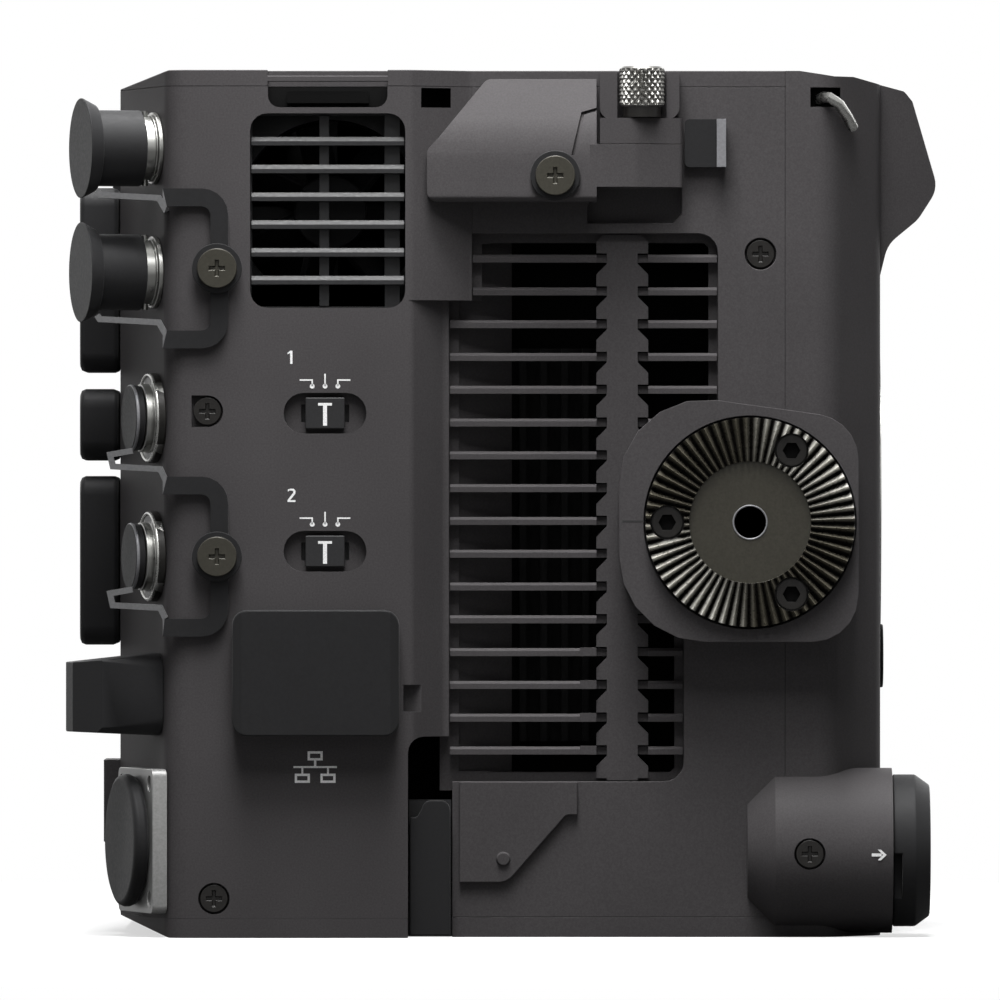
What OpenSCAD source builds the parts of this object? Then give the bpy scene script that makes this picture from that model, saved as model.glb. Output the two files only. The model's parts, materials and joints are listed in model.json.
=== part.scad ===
// Box-style digital cinema camera body, in millimetres.
// +X is the lens direction, -Y the right-hand side, +Z up. The origin is the mouth of the tripod thread.

/* [Body] */
// Height from the base to the top cover
body_height = 132; // [130:1:142]
// Distance from the tripod thread back to the rear wall
rear_reach = 58.4; // [57.5:0.1:62]
// Distance from the tripod thread forward to the front wall
front_reach = 58.2; // [57.5:0.1:62]
// Distance from the lens axis out to the rear part of the right side
right_reach = 60; // [59:0.5:64]
// Distance from the lens axis out to the left side
left_reach = 74; // [72:0.5:80]
// Length of the deeper rear part of the right side
rear_block_length = 45; // [44:0.2:46]
// Step from the rear part of the right side in to the front part
side_step = 6; // [5.6:0.1:6.6]
// Wall thickness of the covers
wall = 2.5; // [2.2:0.1:2.7]
// Thickness of the base plate
base_thickness = 3; // [2.6:0.1:3.4]

/* [Terminal panel] */
// Angle at which the terminal panel turns towards the right side
panel_tilt = 15; // [12:0.5:17]
// Width of the angled panel, measured across the camera
panel_width = 30; // [28:0.5:32]
// Outer radius of a coaxial jack
bnc_r = 4.8; // [4.4:0.1:5]
// Outer radius of a small microphone jack
xlr_r = 5.2; // [4.8:0.1:5.6]
// Side of the square power inlet flange
power_side = 22; // [20:0.5:23]

/* [Vents] */
// Width of the exhaust vent
vent_w = 23.6; // [22:0.2:24]
// Height of the exhaust vent
vent_h = 29.6; // [27:0.2:30]
// Number of slats across the exhaust vent
vent_slats = 6; // [4:1:6]
// Spacing of the intake slats
intake_pitch = 5; // [4.8:0.1:5.2]
// Number of intake slats
intake_slats = 16; // [12:1:16]
// Thickness of an intake slat
slat_t = 1.2; // [1:0.1:1.4]

/* [Rosette] */
// Diameter of the rosette
rosette_d = 31.8; // [30:0.2:33]
// Number of teeth on the rosette
rosette_teeth = 60; // [36:6:72]
// Depth of a tooth at the rim
tooth_depth = 1.3; // [0.9:0.1:1.5]
// Height of the rosette's centre above the base
rosette_z = 63.2; // [60:0.2:66]

/* [Lens mount] */
// Height of the lens axis above the base
lens_z = 66; // [64:0.5:68]
// Outside diameter of the lens mount ring
mount_d = 68; // [66:0.5:70]
// Width of the mount ring's flange, from the throat out to the rim
mount_rim = 7; // [6.6:0.1:8]
// Distance from the mount face back to the sensor face
flange_distance = 20; // [19:0.5:21]

/* [Battery bay] */
// Width of the battery bay
battery_w = 43; // [40:0.5:45]
// Height of the battery bay
battery_h = 72; // [68:0.5:74]
// Depth of the battery bay
battery_depth = 39; // [36:0.5:41]

/* [Threads] */
// Core radius of the small camera thread
small_thread_r = 2.55; // [2.5:0.01:2.6]
// Core radius of the large camera thread
large_thread_r = 3.97; // [3.9:0.01:4.05]
// Core radius of the rosette thread
rosette_thread_r = 2.5; // [2.45:0.01:2.6]

/* [Hidden] */
$fn = 48;

// Shared clearances and overruns
overrun = 1;
gap = 0.3;
slip = 0.15;
corner_steps = 5;

// Colours
paint = "#4c4b4c";
rubber = "#242424";
bare_metal = "#b9bab8";
bronze = "#45433a";
plastic = "#303031";
board_green = "#1f4a35";

// Main planes
rear_x = -rear_reach;
front_x = front_reach;
right_y = -right_reach;
step_y = right_y + side_step;
left_y = left_reach;
top_z = body_height;
cover_top = top_z - wall;
edge_x = rear_x + panel_width * tan(panel_tilt);
panel_y = right_y + panel_width;
step_x = rear_x + rear_block_length;
bevel_run = 4.9;
shoulder_run = 8.9;
shoulder_drop = 35;
shoulder_z = top_z - shoulder_drop;
front_chamfer_x = 7.7;
front_chamfer_y = 10;
left_front_chamfer = 10;
left_rear_chamfer = 8;
part_gap_x = 14.7;
parting_x = front_x - part_gap_x;
right_edge_r = 4;
small_edge_r = 1.5;
front_edge_r = 5;

// Chassis
deck_low = 5;
deck_high = 3;
rib = 3;
duct_depth = 24;
duct_y = right_y + duct_depth;
left_bay = 11;
left_bay_y = left_y - left_bay;
mid_x = -11;
front_bulkhead = 5;
sensor_room = 8.2;
bulkhead_x = front_x - wall - front_bulkhead;
sensor_wall_x = front_x - flange_distance - sensor_room;

// Exhaust vent and fan
vent_rim = 1;
vent_x1 = step_x - vent_rim;
vent_x0 = vent_x1 - vent_w;
vent_drop = 6.6;
vent_z1 = top_z - vent_drop;
vent_z0 = vent_z1 - vent_h;
vent_r = 2.6;
vent_slat_t = 1.35;
vent_slat_depth = 3.4;
vent_slat_inset = 0.9;
vent_flange = 1.5;
vent_flange_w = 1.6;
vent_rib_w = 1.5;
vent_rib_in = 10.5;
fan_side = 30;
fan_depth = 10;
fan_wall = 0.9;
fan_hub_r = 5.5;
fan_blades = 7;
fan_blade_t = 1.1;
fan_spoke_w = 2;
fan_x_in = 12.1;
fan_x = vent_x0 + fan_x_in;
fan_z = vent_z0 + vent_h / 2;
fan_y1 = duct_y;
fan_y0 = fan_y1 - fan_depth;
fan_pin_r = 1;

// Carry-strap slot over the vent
strap_margin = 2.7;
strap_x0 = vent_x0 + strap_margin;
strap_x1 = vent_x1 - strap_margin;
strap_depth = 3.2;
strap_bar_t = 0.9;
strap_z0 = vent_z1 + strap_bar_t;
strap_r = 1.8;
strap_ledge_h = 1.8;
strap_ledge_in = 2.9;
strap_ledge_up = 0.7;

// Small slot beside it and the notch above the grip terminal
slot_in = 1.4;
slot_w = 4.5;
slot_h = 3;
slot_drop = 2.7;
notch_in = 1.3;
notch_w = 3.6;
notch_z = 34.4;
notch_h = 4.1;
notch_share = 0.7;

// Air intake
intake_in = 5.6;
intake_upper_in = 9.1;
intake_w = 41;
intake_lower_w = 35.8;
intake_x0 = step_x + intake_in;
intake_upper_x0 = step_x + intake_upper_in;
intake_x1 = intake_x0 + intake_w;
intake_lower_x1 = intake_x0 + intake_lower_w;
intake_z0 = 23.7;
intake_drop = 24.8;
intake_z1 = top_z - intake_drop;
intake_neck_drop = 9;
intake_neck_z = rosette_z - intake_neck_drop;
intake_r = 3;
intake_first_drop = 3.8;
intake_first_z = intake_z1 - intake_first_drop;
slat_out = 0.6;
slat_depth = 4.2;
spine_in = 24.1;
spine_x0 = intake_x0 + spine_in;
spine_w = 4.7;
spine_out = 1.4;
tray_floor_t = 2;
tray_depth = 8.5;
tray_floor_y = step_y + tray_depth;
tray_slope_w = 9.6;
tray_slope_near = 2.8;
tray_slope_far = 5.2;
tray_dark_w = 12.8;
tray_dark_x0 = intake_x0 + tray_slope_w;
tray_dark_x1 = tray_dark_x0 + tray_dark_w;
tray_wall = 1.4;
lug_w = 1.6;
lug_gap = 0.2;
slat_end_in = 1.5;
lower_slats = 4;
lower_end_w = 2.5;
sink_fin_t = 1;
sink_fin_pitch = 3.2;
sink_base_t = 1.5;
sink_overlap = 2;
sink_margin = 6;

// Main board, with its chips as places across it, shares of its height, and sides
board_z0 = 14;
board_top_gap = 10;
board_t = 1.6;
chip_t = 2;
chip_side = [16, 22, 14, 12];
chip_y_shares = [0.236, 0.528, 0.566, 0.255];
chip_z_shares = [0.531, 0.663, 0.246, 0.19];

// Plate below the intake, as an outline from its upper rear corner
plate_in = 7.2;
plate_x = step_x + plate_in;
plate_z = intake_z0;
plate_t = 0.9;
plate_w = 18;
plate_h = 15.4;
plate_ear = 5.1;
plate_foot = 7.3;
plate_bump_r = 1;
plate_bump_x = 6.7;
plate_bump_drop = 11.8;
plate_heel = 1.7;
plate_toe_r = 3;

// Slide switches
switch_in = 31.8;
switch_x = rear_x + switch_in;
switch_shares = [0.6045, 0.4455];
switch_z = body_height * switch_shares;
switch_w = 12.6;
switch_h = 6.2;
switch_recess = 1.4;
switch_travel = 1.9;
switch_stem_w = 3.2;
switch_stem_h = 2.4;
switch_knob_w = 6;
switch_knob_h = 4.8;
switch_knob_t = 1.2;
switch_plate_w = 10;
switch_plate_h = 5;
switch_plate_t = 1;

// Network jack and its cover
lan_in = 17.7;
lan_share = 0.2326;
lan_x0 = rear_x + lan_in;
lan_w = 25.4;
lan_z0 = body_height * lan_share;
lan_h = 19.2;
lan_t = 4.4;
lan_crown = 0.9;
lan_r = 2.3;
lan_hole_w = 14;
lan_hole_h = 11;
lan_jack_depth = 13;
lan_socket_w = 11.8;
lan_socket_h = 8.2;
lan_socket_depth = 10;

// Screws of the covers
screw_head_r = 2.1;
screw_head_t = 1.1;
screw_recess = 1.3;
screw_shaft_r = 1.2;
screw_length = 3;
cross_w = 0.55;
cross_l = 2.4;
cross_depth = 0.5;
upper_screw_in = 13.9;
upper_screw_share = 0.6068;
lower_screw_in = 14.9;
lower_screw_z = 6;
side_screws = [[rear_x + upper_screw_in, body_height * upper_screw_share],
    [rear_x + lower_screw_in, lower_screw_z]];
front_screw_back = 3.8;
front_screw_drop = 27.9;
front_side_screw = [parting_x - front_screw_back, top_z - front_screw_drop];

// Cap leashes and their captive screws
leash_t = 1.2;
leash_w = 2.7;
leash_in = 17.1;
leash_x1 = rear_x + leash_in;
leash_shares = [0.7712, 0.4394];
leash_z = body_height * leash_shares;
leash_h = 21.6;
leash_screw_r = 3;
leash_ring_r = 3.8;
leash_ring_t = 0.9;
leash_screw_t = 0.9;
strand_t = 0.9;
strand_w = 2.4;
strand_reach = 10;
bnc_strand_shares = [[0.06, -0.98], [-0.06, -0.77], [-0.96, -0.72], [-1, -0.66]];
xlr_strand_shares = [[0.04, -0.94], [-0.04, -0.78], [-0.76, -0.74], [-0.8, -0.56], [-0.46, -0.5]];
leash_screw_in = 15.4;
leash_screw_x = rear_x + leash_screw_in;

// Terminal panel jacks, given along the panel from its right edge
jack_s = 8.3;
bnc_shares = [0.9106, 0.7674];
bnc_z = body_height * bnc_shares;
bnc_length = 9;
bnc_wall = 0.9;
bnc_flange_r = 5.5;
bnc_flange_t = 0.8;
bnc_tail = 9;
bnc_tail_r = 4.4;
bnc_pin_r = 0.6;
cap_start = 2.6;
cap_length = 7;
cap_wall = 0.7;
cap_flare = 1.9;
cap_flare_t = 2.2;
xlr_shares = [0.5992, 0.4394];
xlr_z = body_height * xlr_shares;
xlr_flange_r = 6.9;
xlr_flange_t = 1.2;
xlr_out = 2.6;
xlr_tail = 8;
xlr_bore_r = 4.3;
xlr_bore_depth = 8;
xlr_cap_r = 5;
xlr_cap_t = 1.5;
xlr_plug_depth = 3;
sync_s = 8.4;
sync_r = 4;
sync_h = 12.6;
sync_w = 11;
sync_length = 13;
sync_edge_r = 3;
sync_top_in = 1.4;
sync_side_in = 0.6;
sync_nose_in = 1;
sync_nose = 3.4;
sync_share = 0.446;
power_margin = 0.65;
power_corner_r = 1.2;
power_screw_share = 0.4;
power_z = base_thickness + power_side / 2 + power_margin;
sync_z = power_z + power_side / 2 + sync_share * (xlr_z[1] - xlr_flange_r - power_z - power_side / 2);
power_s = 12;
power_t = 2.3;
power_r = 7.2;
power_depth = 9;
power_tail = 12;
power_cap_r = 10.1;
power_cap_t = 2.4;

// Rear wall
port_in = 2;
port_y0 = panel_y + port_in;
port_w = 21;
port_t = 6;
port_shares = [[0.6515, 0.8712], [0.5485, 0.6364], [0.3333, 0.5348]];
port_z = body_height * port_shares;
rear_plate_z = 14;
rear_plate_h = 12.6;
rear_plate_w = 16;
socket_margin = 2;
socket_side = 3.8;
socket_half_h = 2.4;
port_r = 3;
port_hole_inset = 3;
port_pad_t = 2.6;
socket_depth = 9;
socket_wall = 1.5;
battery_margin = 3.5;
bay_wall = 2;
battery_y0 = left_bay_y - battery_margin - bay_wall - battery_w;
battery_z0 = 24;
battery_rail = 2;
contact_w = 18;
contact_h = 5;
contact_out = 4;
release_w = 14;
release_h = 6;
release_t = 2.4;
release_travel = 3;
release_z = (battery_z0 + battery_h + bay_wall + cover_top) / 2;
release_slot_w = 6;
release_slot_h = 2.5;
release_tab = 1;

// Video connector block on the right side, as an outline from its lower rear corner
video_in = 2.3;
video_drop = 20;
video_x = step_x + video_in;
video_z = top_z - video_drop;
video_w = 25.8;
video_h = 18.7;
video_t = 6.5;
video_slope_z = 9.6;
video_slope_in = 5;
video_corner = 7.8;
video_cheek = 1.7;
video_slope_r = 14;
groove_w = 0.5;
groove_depth = 0.6;
groove_shares = [[1.04, 0.765], [0.919, 0.717], [0.86, 0.374]];
video_step_x = 9.1;
video_lip = 0.6;
guard_x = video_x + video_w;
guard_w = 13.1;
guard_rise = 2.2;
guard_z = video_z + guard_rise;
guard_h = 6.5;
guard_t = 6.5;
guard_turn = 6;
guard_end_share = 0.5;
guard_r = 3;
guard_end_r = 1;
band_h = 3.9;
band_gap = 0.1;
bracket_z = guard_z + guard_h + band_gap + band_h;
bracket_inset = 0.5;
bracket_h = 7;
bracket_back = 3.2;
bracket_r = 1.8;
thumb_in = 6.9;
thumb_x = guard_x + thumb_in;
thumb_r = 3.5;
thumb_h = 6.1;
thumb_neck_r = 2.9;
thumb_neck_h = 1.6;
thumb_stud_r = 1.2;
thumb_y = step_y - thumb_r - gap;
video_port_x = guard_x + guard_w;
video_port_w = 6.6;
video_port_rise = 5.3;
video_port_z = video_z + video_port_rise;
video_port_h = 7.3;
video_port_t = 3.4;
video_port_lip = 1.4;
video_hole_w = 4.4;
video_hole_h = 4.6;
video_hole_in = 1.1;
video_hole_up = 1.3;
video_tab_share = 0.55;
video_screw_in = 19.5;
video_screw_up = 3.9;
under_w = 14.4;
under_h = 5.4;
under_in = 1.4;
under_share = 0.6;
video_screw = [video_x + video_screw_in, video_z + video_screw_up];

// Rosette housing
rosette_back = 20.2;
rosette_x = front_x - rosette_back;
housing_t = 7;
housing_back = 19.9;
housing_down = 18.2;
housing_up = 20.6;
housing_low = 15.6;
housing_front = 16.5;
housing_r = 13;
housing_nose_r = 7;
rosette_base = 0.9;
rosette_sink = 2.2;
rosette_flat_r = 9.25;
rosette_flat_drop = 0.1;
rosette_screw_ring = 12.6;
rosette_screw_r = 2.3;
rosette_screw_angles = [180, 60, -60];
rosette_screw_t = 2;
hex_r = 1.35;
hex_depth = 1;
rosette_hole_depth = 9;

// Lens mount
throat_d = mount_d - 2 * mount_rim;
mount_t = 2.9;
mount_proud = 0.4;
mount_hole_gap = 0.3;
tube_t = 1;
claw_in = 1.6;
claw_t = 1.6;
claw_sweep = 44;
mount_screw_inset = 2.8;
mount_screw_ring = mount_d / 2 - mount_screw_inset;
mount_screw_r = 1.6;
mount_screw_t = 1;
mount_screws = 4;
contact_block_w = 4;
contact_block_r = throat_d / 2 - contact_block_w;
contact_block_t = 3;
contact_sweep = 70;
release_x_y = 39;
release_x_z = 42;
release_button_r = 5;
release_button_travel = 1.6;
sensor_w = 40;
sensor_h = 26;
sensor_t = 3;
sensor_board_w = 62;
sensor_board_h = 56;
sensor_board_t = 1.6;

// Brow above the lens, as an outline from the front wall and the top
brow_y0 = -36;
brow_y1 = 50;
brow_reach = 9;
brow_drop = 31;
brow_side = 6;
brow_shares = [[0.42, 0.09], [0.56, 0.139], [1, 0.568], [0.656, 0.723], [0.133, 0.848], [0, 1]];
brow_radii = [0, 2, 1, 4, 6, 5, 0, 0];
nose_shares = [[-1.39, 0], [-0.8, 0.026], [-0.47, 0.026], [0.42, 0.09], [2, 0.194]];

// Strap lug
lug_back = 8.6;
lug_drop = 4;
lug_x = front_x - lug_back;
lug_z = top_z - lug_drop;
lug_reach = 5;
lug_shares = [[-0.16, 0.25, -0.06], [-0.08, 0.08, 0], [0.12, -0.18, -0.02], [0.4, -0.08, -0.2],
    [0.68, 0.28, -0.6], [0.86, 0.58, -0.92]];
lug_wire_r = 0.85;
lug_hole_w = 4.6;
lug_hole_h = 3;

// Lens control terminal at the lower front right corner
terminal_r = 12.6;
terminal_y = -48.5;
terminal_z = 13.1;
terminal_back = 20.5;
terminal_out = 1.6;
terminal_x0 = front_x - terminal_back;
terminal_x1 = front_x + terminal_out;
terminal_taper = 4.2;
terminal_rear_r = 9;
terminal_tube_r = 7.4;
terminal_bore_r = 6;
terminal_tube_depth = 9;
terminal_cap_r = 11.6;
terminal_cap_t = 5.6;
terminal_plug_r = 5.4;
terminal_plug_depth = 4.5;
terminal_screw_back = 11.1;
terminal_screw_x = front_x - terminal_screw_back;
cap_rim_share = 0.6;
cap_nose_share = 0.86;
cap_notch_w = 1.4;
cap_notch_h = 10;
cap_notch_share = 0.78;

// Grip terminal at the lower edge of the step
grip_w = 6.7;
grip_in = 0.6;
grip_x0 = step_x - grip_in;
grip_x1 = grip_x0 + grip_w;
grip_top = 30.6;
grip_depth = 10;
grip_cover_h = 20.6;
grip_cover_t = 3;
grip_shoulder = 2.3;
grip_r = 2.4;
grip_socket_z = 11;

// Left side
media_x0 = -22;
media_w = 52;
media_z0 = 18;
media_h = 42;
media_r = 3;
door_step = 1.5;
reader_depth = 26;
card_w = 31;
card_t = 4.6;
card_rise = [16, 29];
reader_margin = 3;
card_in = 8;
button_flange = 1.2;
button_flange_t = 0.8;
button_travel = 1;
record_x = 36;
record_drop = 26;
record_z = top_z - record_drop;
record_r = 5.2;
record_proud = 0.7;
power_switch_x = -38;
power_switch_drop = 24;
power_switch_z = top_z - power_switch_drop;
power_switch_w = 7;
power_switch_h = 4.6;
power_switch_travel = 4;
power_switch_proud = 1.6;
dial_x = -36;
dial_z = 66;
dial_r = 9;
dial_proud = 1.4;
dial_pin_r = 2;

// Top and base threads
top_holes = [[-30, 8], [-4, 8], [22, 8], [-30, 44], [22, 44]];
top_boss_r = 5;
top_boss_h = 7;
large_thread_x = 18;
base_boss_r = 7.5;
pad_r = 4;
pad_t = 0.5;
pad_margin = 12;
rear_rise_share = 1.05;

// Small geometry helpers
function unit(v) = v / norm(v);
function turned(a, b) = let (d = unit(b - a)) [-d.y, d.x];
function at(list, k) = list[(k + len(list)) % len(list)];

// Outline moved inwards by the distance d, for points that run anticlockwise
function inset_path(pts, d) = [for (k = [0 : len(pts) - 1])
    let (m = turned(at(pts, k - 1), pts[k]), n = turned(pts[k], at(pts, k + 1)))
    pts[k] + (m + n) * d / (1 + m * n)];

function corner_arc(a, p, b, r, n) =
    let (u = unit(a - p), v = unit(b - p), half = acos(u * v) / 2)
    let (c = p + unit(u + v) * r / sin(half), s = p + u * r / tan(half), e = p + v * r / tan(half))
    let (a0 = atan2(s.y - c.y, s.x - c.x), a1 = atan2(e.y - c.y, e.x - c.x))
    let (sweep = (a1 - a0 + 540) % 360 - 180)
    [for (k = [0 : n]) c + r * [cos(a0 + sweep * k / n), sin(a0 + sweep * k / n)]];

// Outline with each corner turned into an arc of its own radius, where zero keeps it sharp
function rounded_path(pts, radii, n = corner_steps) = [for (k = [0 : len(pts) - 1])
    each (radii[k] > 0 ? corner_arc(at(pts, k - 1), pts[k], at(pts, k + 1), radii[k], n) : [pts[k]])];

function rect_path(x0, y0, x1, y1, r) =
    rounded_path([[x0, y0], [x1, y0], [x1, y1], [x0, y1]], [r, r, r, r]);

// Closed outline of a band of width w along an open line of points
function band_side(pts, w) = [for (k = [0 : len(pts) - 1])
    let (m = k > 0 ? turned(pts[k - 1], pts[k]) : turned(pts[0], pts[1]))
    let (n = k < len(pts) - 1 ? turned(pts[k], pts[k + 1]) : m)
    pts[k] + (m + n) * w / 2 / (1 + m * n)];
function reversed(list) = [for (k = [len(list) - 1 : -1 : 0]) list[k]];
function band_path(pts, w) = concat(band_side(pts, w), reversed(band_side(pts, -w)));

module xy_slab(z0, z1) translate([0, 0, z0]) linear_extrude(z1 - z0) children();
module xz_slab(y0, y1) translate([0, y1, 0]) rotate([90, 0, 0]) linear_extrude(y1 - y0) children();
module yz_slab(x0, x1) translate([x0, 0, 0]) rotate([90, 0, 90]) linear_extrude(x1 - x0) children();
module block(a, b) translate(a) cube(b - a);
module on_right(x, z, y = right_y) translate([x, y, z]) rotate([90, 0, 0]) children();
module on_left(x, z, y = left_y) translate([x, y, z]) rotate([-90, 0, 0]) children();
module on_front(y, z, x = front_x) translate([x, y, z]) rotate([0, 90, 0]) children();
module on_rear(y, z, x = rear_x) translate([x, y, z]) rotate([0, -90, 0]) children();
module on_top(x, y) translate([x, y, top_z]) children();
// Local x is up, local y runs along the panel away from its right edge, local z leaves the panel
module on_panel(s, z) translate([edge_x - s * sin(panel_tilt), right_y + s * cos(panel_tilt), z])
    rotate([0, -90, panel_tilt]) children();

module tube(outer, inner, h) difference() {
    cylinder(r = outer, h = h);
    translate([0, 0, -overrun]) cylinder(r = inner, h = h + 2 * overrun);
}

// Round wire along a line of points, as one closed skin
function frame_side(d) = unit(cross(d, abs(d.z) > 0.9 * norm(d) ? [1, 0, 0] : [0, 0, 1]));
module wire(pts, r, sides = 8) {
    last = len(pts) - 1;
    dirs = [for (k = [0 : last]) unit(pts[min(k + 1, last)] - pts[max(k - 1, 0)])];
    points = [for (k = [0 : last]) let (u = frame_side(dirs[k]), v = cross(dirs[k], u))
        for (j = [0 : sides - 1]) pts[k] + r * (cos(360 * j / sides) * u + sin(360 * j / sides) * v)];
    walls = [for (k = [0 : last - 1]) for (j = [0 : sides - 1]) let (i = (j + 1) % sides)
        each [[k * sides + j, (k + 1) * sides + j, (k + 1) * sides + i],
            [k * sides + j, (k + 1) * sides + i, k * sides + i]]];
    ends = [[for (j = [0 : sides - 1]) j], [for (j = [sides - 1 : -1 : 0]) last * sides + j]];
    polyhedron(points, concat(walls, ends), convexity = 4);
}

// Plan outline of the body, moved inwards by d; the upper one has the wider shoulder
function plan_corners(run) = [[edge_x, right_y], [step_x, right_y], [step_x + run, step_y],
    [front_x - front_chamfer_x, step_y], [front_x, step_y + front_chamfer_y],
    [front_x, left_y - left_front_chamfer], [front_x - left_front_chamfer, left_y],
    [rear_x + left_rear_chamfer, left_y], [rear_x, left_y - left_rear_chamfer], [rear_x, panel_y]];
plan_radii = [right_edge_r, small_edge_r, small_edge_r, front_edge_r, front_edge_r, front_edge_r,
    front_edge_r, right_edge_r, right_edge_r, small_edge_r];
function plan(d, run) = rounded_path(inset_path(plan_corners(run), d),
    [for (k = [0 : len(plan_radii) - 1]) max(plan_radii[k] - (k == 2 ? -d : d), small_edge_r / 2)]);
module body(d, z0, z1) {
    if (z0 < shoulder_z) xy_slab(z0, min(z1, shoulder_z)) polygon(plan(d, bevel_run));
    if (z1 > shoulder_z) xy_slab(max(z0, shoulder_z), z1) polygon(plan(d, shoulder_run));
}
// Walls of the covers, between the base plate and the top cover
module walls() {
    difference() {
        body(0, base_thickness, cover_top);
        xy_slab(base_thickness - overrun, shoulder_z + wall) polygon(plan(wall, bevel_run));
        xy_slab(shoulder_z + wall, cover_top + overrun) polygon(plan(wall, shoulder_run));
    }
}
far = 200;
module plain_walls() difference() {
    xy_slab(base_thickness, cover_top) polygon(plan(0, bevel_run));
    xy_slab(base_thickness - overrun, cover_top + overrun) polygon(plan(wall, bevel_run));
}
module part_of_walls(a, b) intersection() {
    plain_walls();
    block(a, b);
}

// Cross-head recess, screw and round recess shared by the cover screws; local z leaves the surface
module cross_recess(top) translate([0, 0, top - cross_depth]) {
    translate([-cross_l / 2, -cross_w / 2, 0]) cube([cross_l, cross_w, cross_depth + overrun]);
    translate([-cross_w / 2, -cross_l / 2, 0]) cube([cross_w, cross_l, cross_depth + overrun]);
}
module cover_screw() difference() {
    union() {
        translate([0, 0, -screw_recess]) cylinder(r = screw_head_r, h = screw_head_t);
        translate([0, 0, -screw_recess - screw_length]) cylinder(r = screw_shaft_r, h = screw_length);
    }
    cross_recess(screw_head_t - screw_recess);
}
module screw_seat() {
    translate([0, 0, -screw_recess]) cylinder(r = screw_head_r + gap, h = screw_recess + overrun);
    translate([0, 0, -screw_recess - screw_length - gap])
        cylinder(r = screw_shaft_r + slip, h = screw_length + gap + overrun);
}
module captive_screw() difference() {
    union() {
        cylinder(r = leash_ring_r, h = leash_ring_t);
        cylinder(r = leash_screw_r, h = leash_ring_t + leash_screw_t);
        translate([0, 0, -screw_length]) cylinder(r = screw_shaft_r, h = screw_length + leash_ring_t);
    }
    cross_recess(leash_ring_t + leash_screw_t);
}
module captive_seat() translate([0, 0, -screw_length - gap])
    cylinder(r = screw_shaft_r + slip, h = screw_length + gap + overrun);

module all_screw_seats() {
    for (p = side_screws) on_right(p.x, p.y) screw_seat();
    on_right(front_side_screw.x, front_side_screw.y, step_y) screw_seat();
    for (z = leash_z) on_right(leash_screw_x, z) captive_seat();
}

// Main frame that every cover, jack and board is fastened to
module main_chassis() color(plastic) difference() {
    intersection() {
        body(wall, base_thickness, cover_top);
        xy_slab(base_thickness, cover_top) polygon(plan(wall, bevel_run));
    }
    duct_cut();
    block([-far, duct_y + rib, chassis_z0], [mid_x - rib, battery_y0 - bay_wall - rib, chassis_z1]);
    block([-far, battery_y0 - bay_wall, chassis_z0], [mid_x - rib, left_bay_y, chassis_z1]);
    block([mid_x, duct_y + rib, chassis_z0], [sensor_wall_x, left_bay_y - rib, chassis_z1]);
    block([sensor_wall_x + rib, duct_y + rib, chassis_z0], [bulkhead_x, left_bay_y - rib, chassis_z1]);
    block([rear_x + left_rear_chamfer, left_bay_y, chassis_z0],
        [front_x - left_front_chamfer - rib, far, chassis_z1]);
    on_front(0, lens_z, bulkhead_x - overrun)
        cylinder(r = throat_d / 2 + tube_t + slip, h = front_bulkhead + 2 * overrun);
    yz_slab(sensor_wall_x - overrun, sensor_wall_x + rib + overrun)
        translate([0, lens_z]) square([sensor_w / 2, sensor_h / 2], center = true);
    on_right(fan_x, fan_z, duct_y + rib + overrun)
        cylinder(r = fan_side / 2 - fan_wall - gap, h = rib + 2 * overrun);
    on_front(terminal_y, terminal_z, terminal_x1 - far)
        cylinder(r = terminal_tube_r + gap, h = far);
    on_front(release_x_y, release_x_z, bulkhead_x - overrun)
        cylinder(r = release_button_r + button_flange + gap, h = far);
    base_bosses(gap);
    top_bosses(gap);
    all_screw_seats();
    grip_recess();
    strap_slot();
}
chassis_z0 = base_thickness + deck_low;
chassis_z1 = cover_top - deck_high;
module duct_cut() {
    block([-far, -far, chassis_z0], [front_x - part_gap_x + 2 * rib, duct_y, chassis_z1]);
    block([-far, -far, base_thickness - overrun], [edge_x + terminal_tail_x, duct_y + 2 * rib, chassis_z1]);
}
terminal_tail_x = 14;

module base_bosses(extra) {
    for (x = [0, large_thread_x]) translate([x, 0, base_thickness / 2])
        cylinder(r = base_boss_r + extra, h = base_thickness / 2 + deck_low + extra);
}
module base_plate() color(paint) difference() {
    union() {
        body(0, 0, base_thickness);
        base_bosses(0);
    }
    translate([0, 0, -overrun]) cylinder(r = small_thread_r, h = far);
    translate([large_thread_x, 0, -overrun]) cylinder(r = large_thread_r, h = far);
    // The rear edge slopes up to the rear wall
    xz_slab(-far, far) polygon([[edge_x, -overrun], [edge_x, 0], [rear_x - overrun, base_thickness * rear_rise_share],
        [rear_x - overrun, -overrun]]);
    grip_recess();
}

module top_bosses(extra) {
    for (p = top_holes) translate([p.x, p.y, top_z - top_boss_h - extra])
        cylinder(r = top_boss_r + extra, h = top_boss_h - wall / 2 + extra);
}
module top_cover() color(paint) difference() {
    union() {
        intersection() {
            body(0, cover_top, top_z);
            block([-far, -far, 0], [parting_x, far, far]);
        }
        top_bosses(0);
    }
    for (p = top_holes) translate([p.x, p.y, 0]) cylinder(r = small_thread_r, h = far);
    // Shallow pad for the handle
    translate([0, 0, top_z - pad_t]) linear_extrude(far)
        polygon(rect_path(top_holes[0].x - pad_margin, top_holes[0].y - pad_margin,
            top_holes[4].x + pad_margin, top_holes[4].y + pad_margin, pad_r));
    // The rear edge slopes down to the rear wall
    xz_slab(-far, far) polygon([[edge_x, top_z + overrun], [edge_x, top_z], [rear_x - overrun, cover_top],
        [rear_x - overrun, top_z + overrun]]);
    strap_slot();
    small_slot();
}

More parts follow.
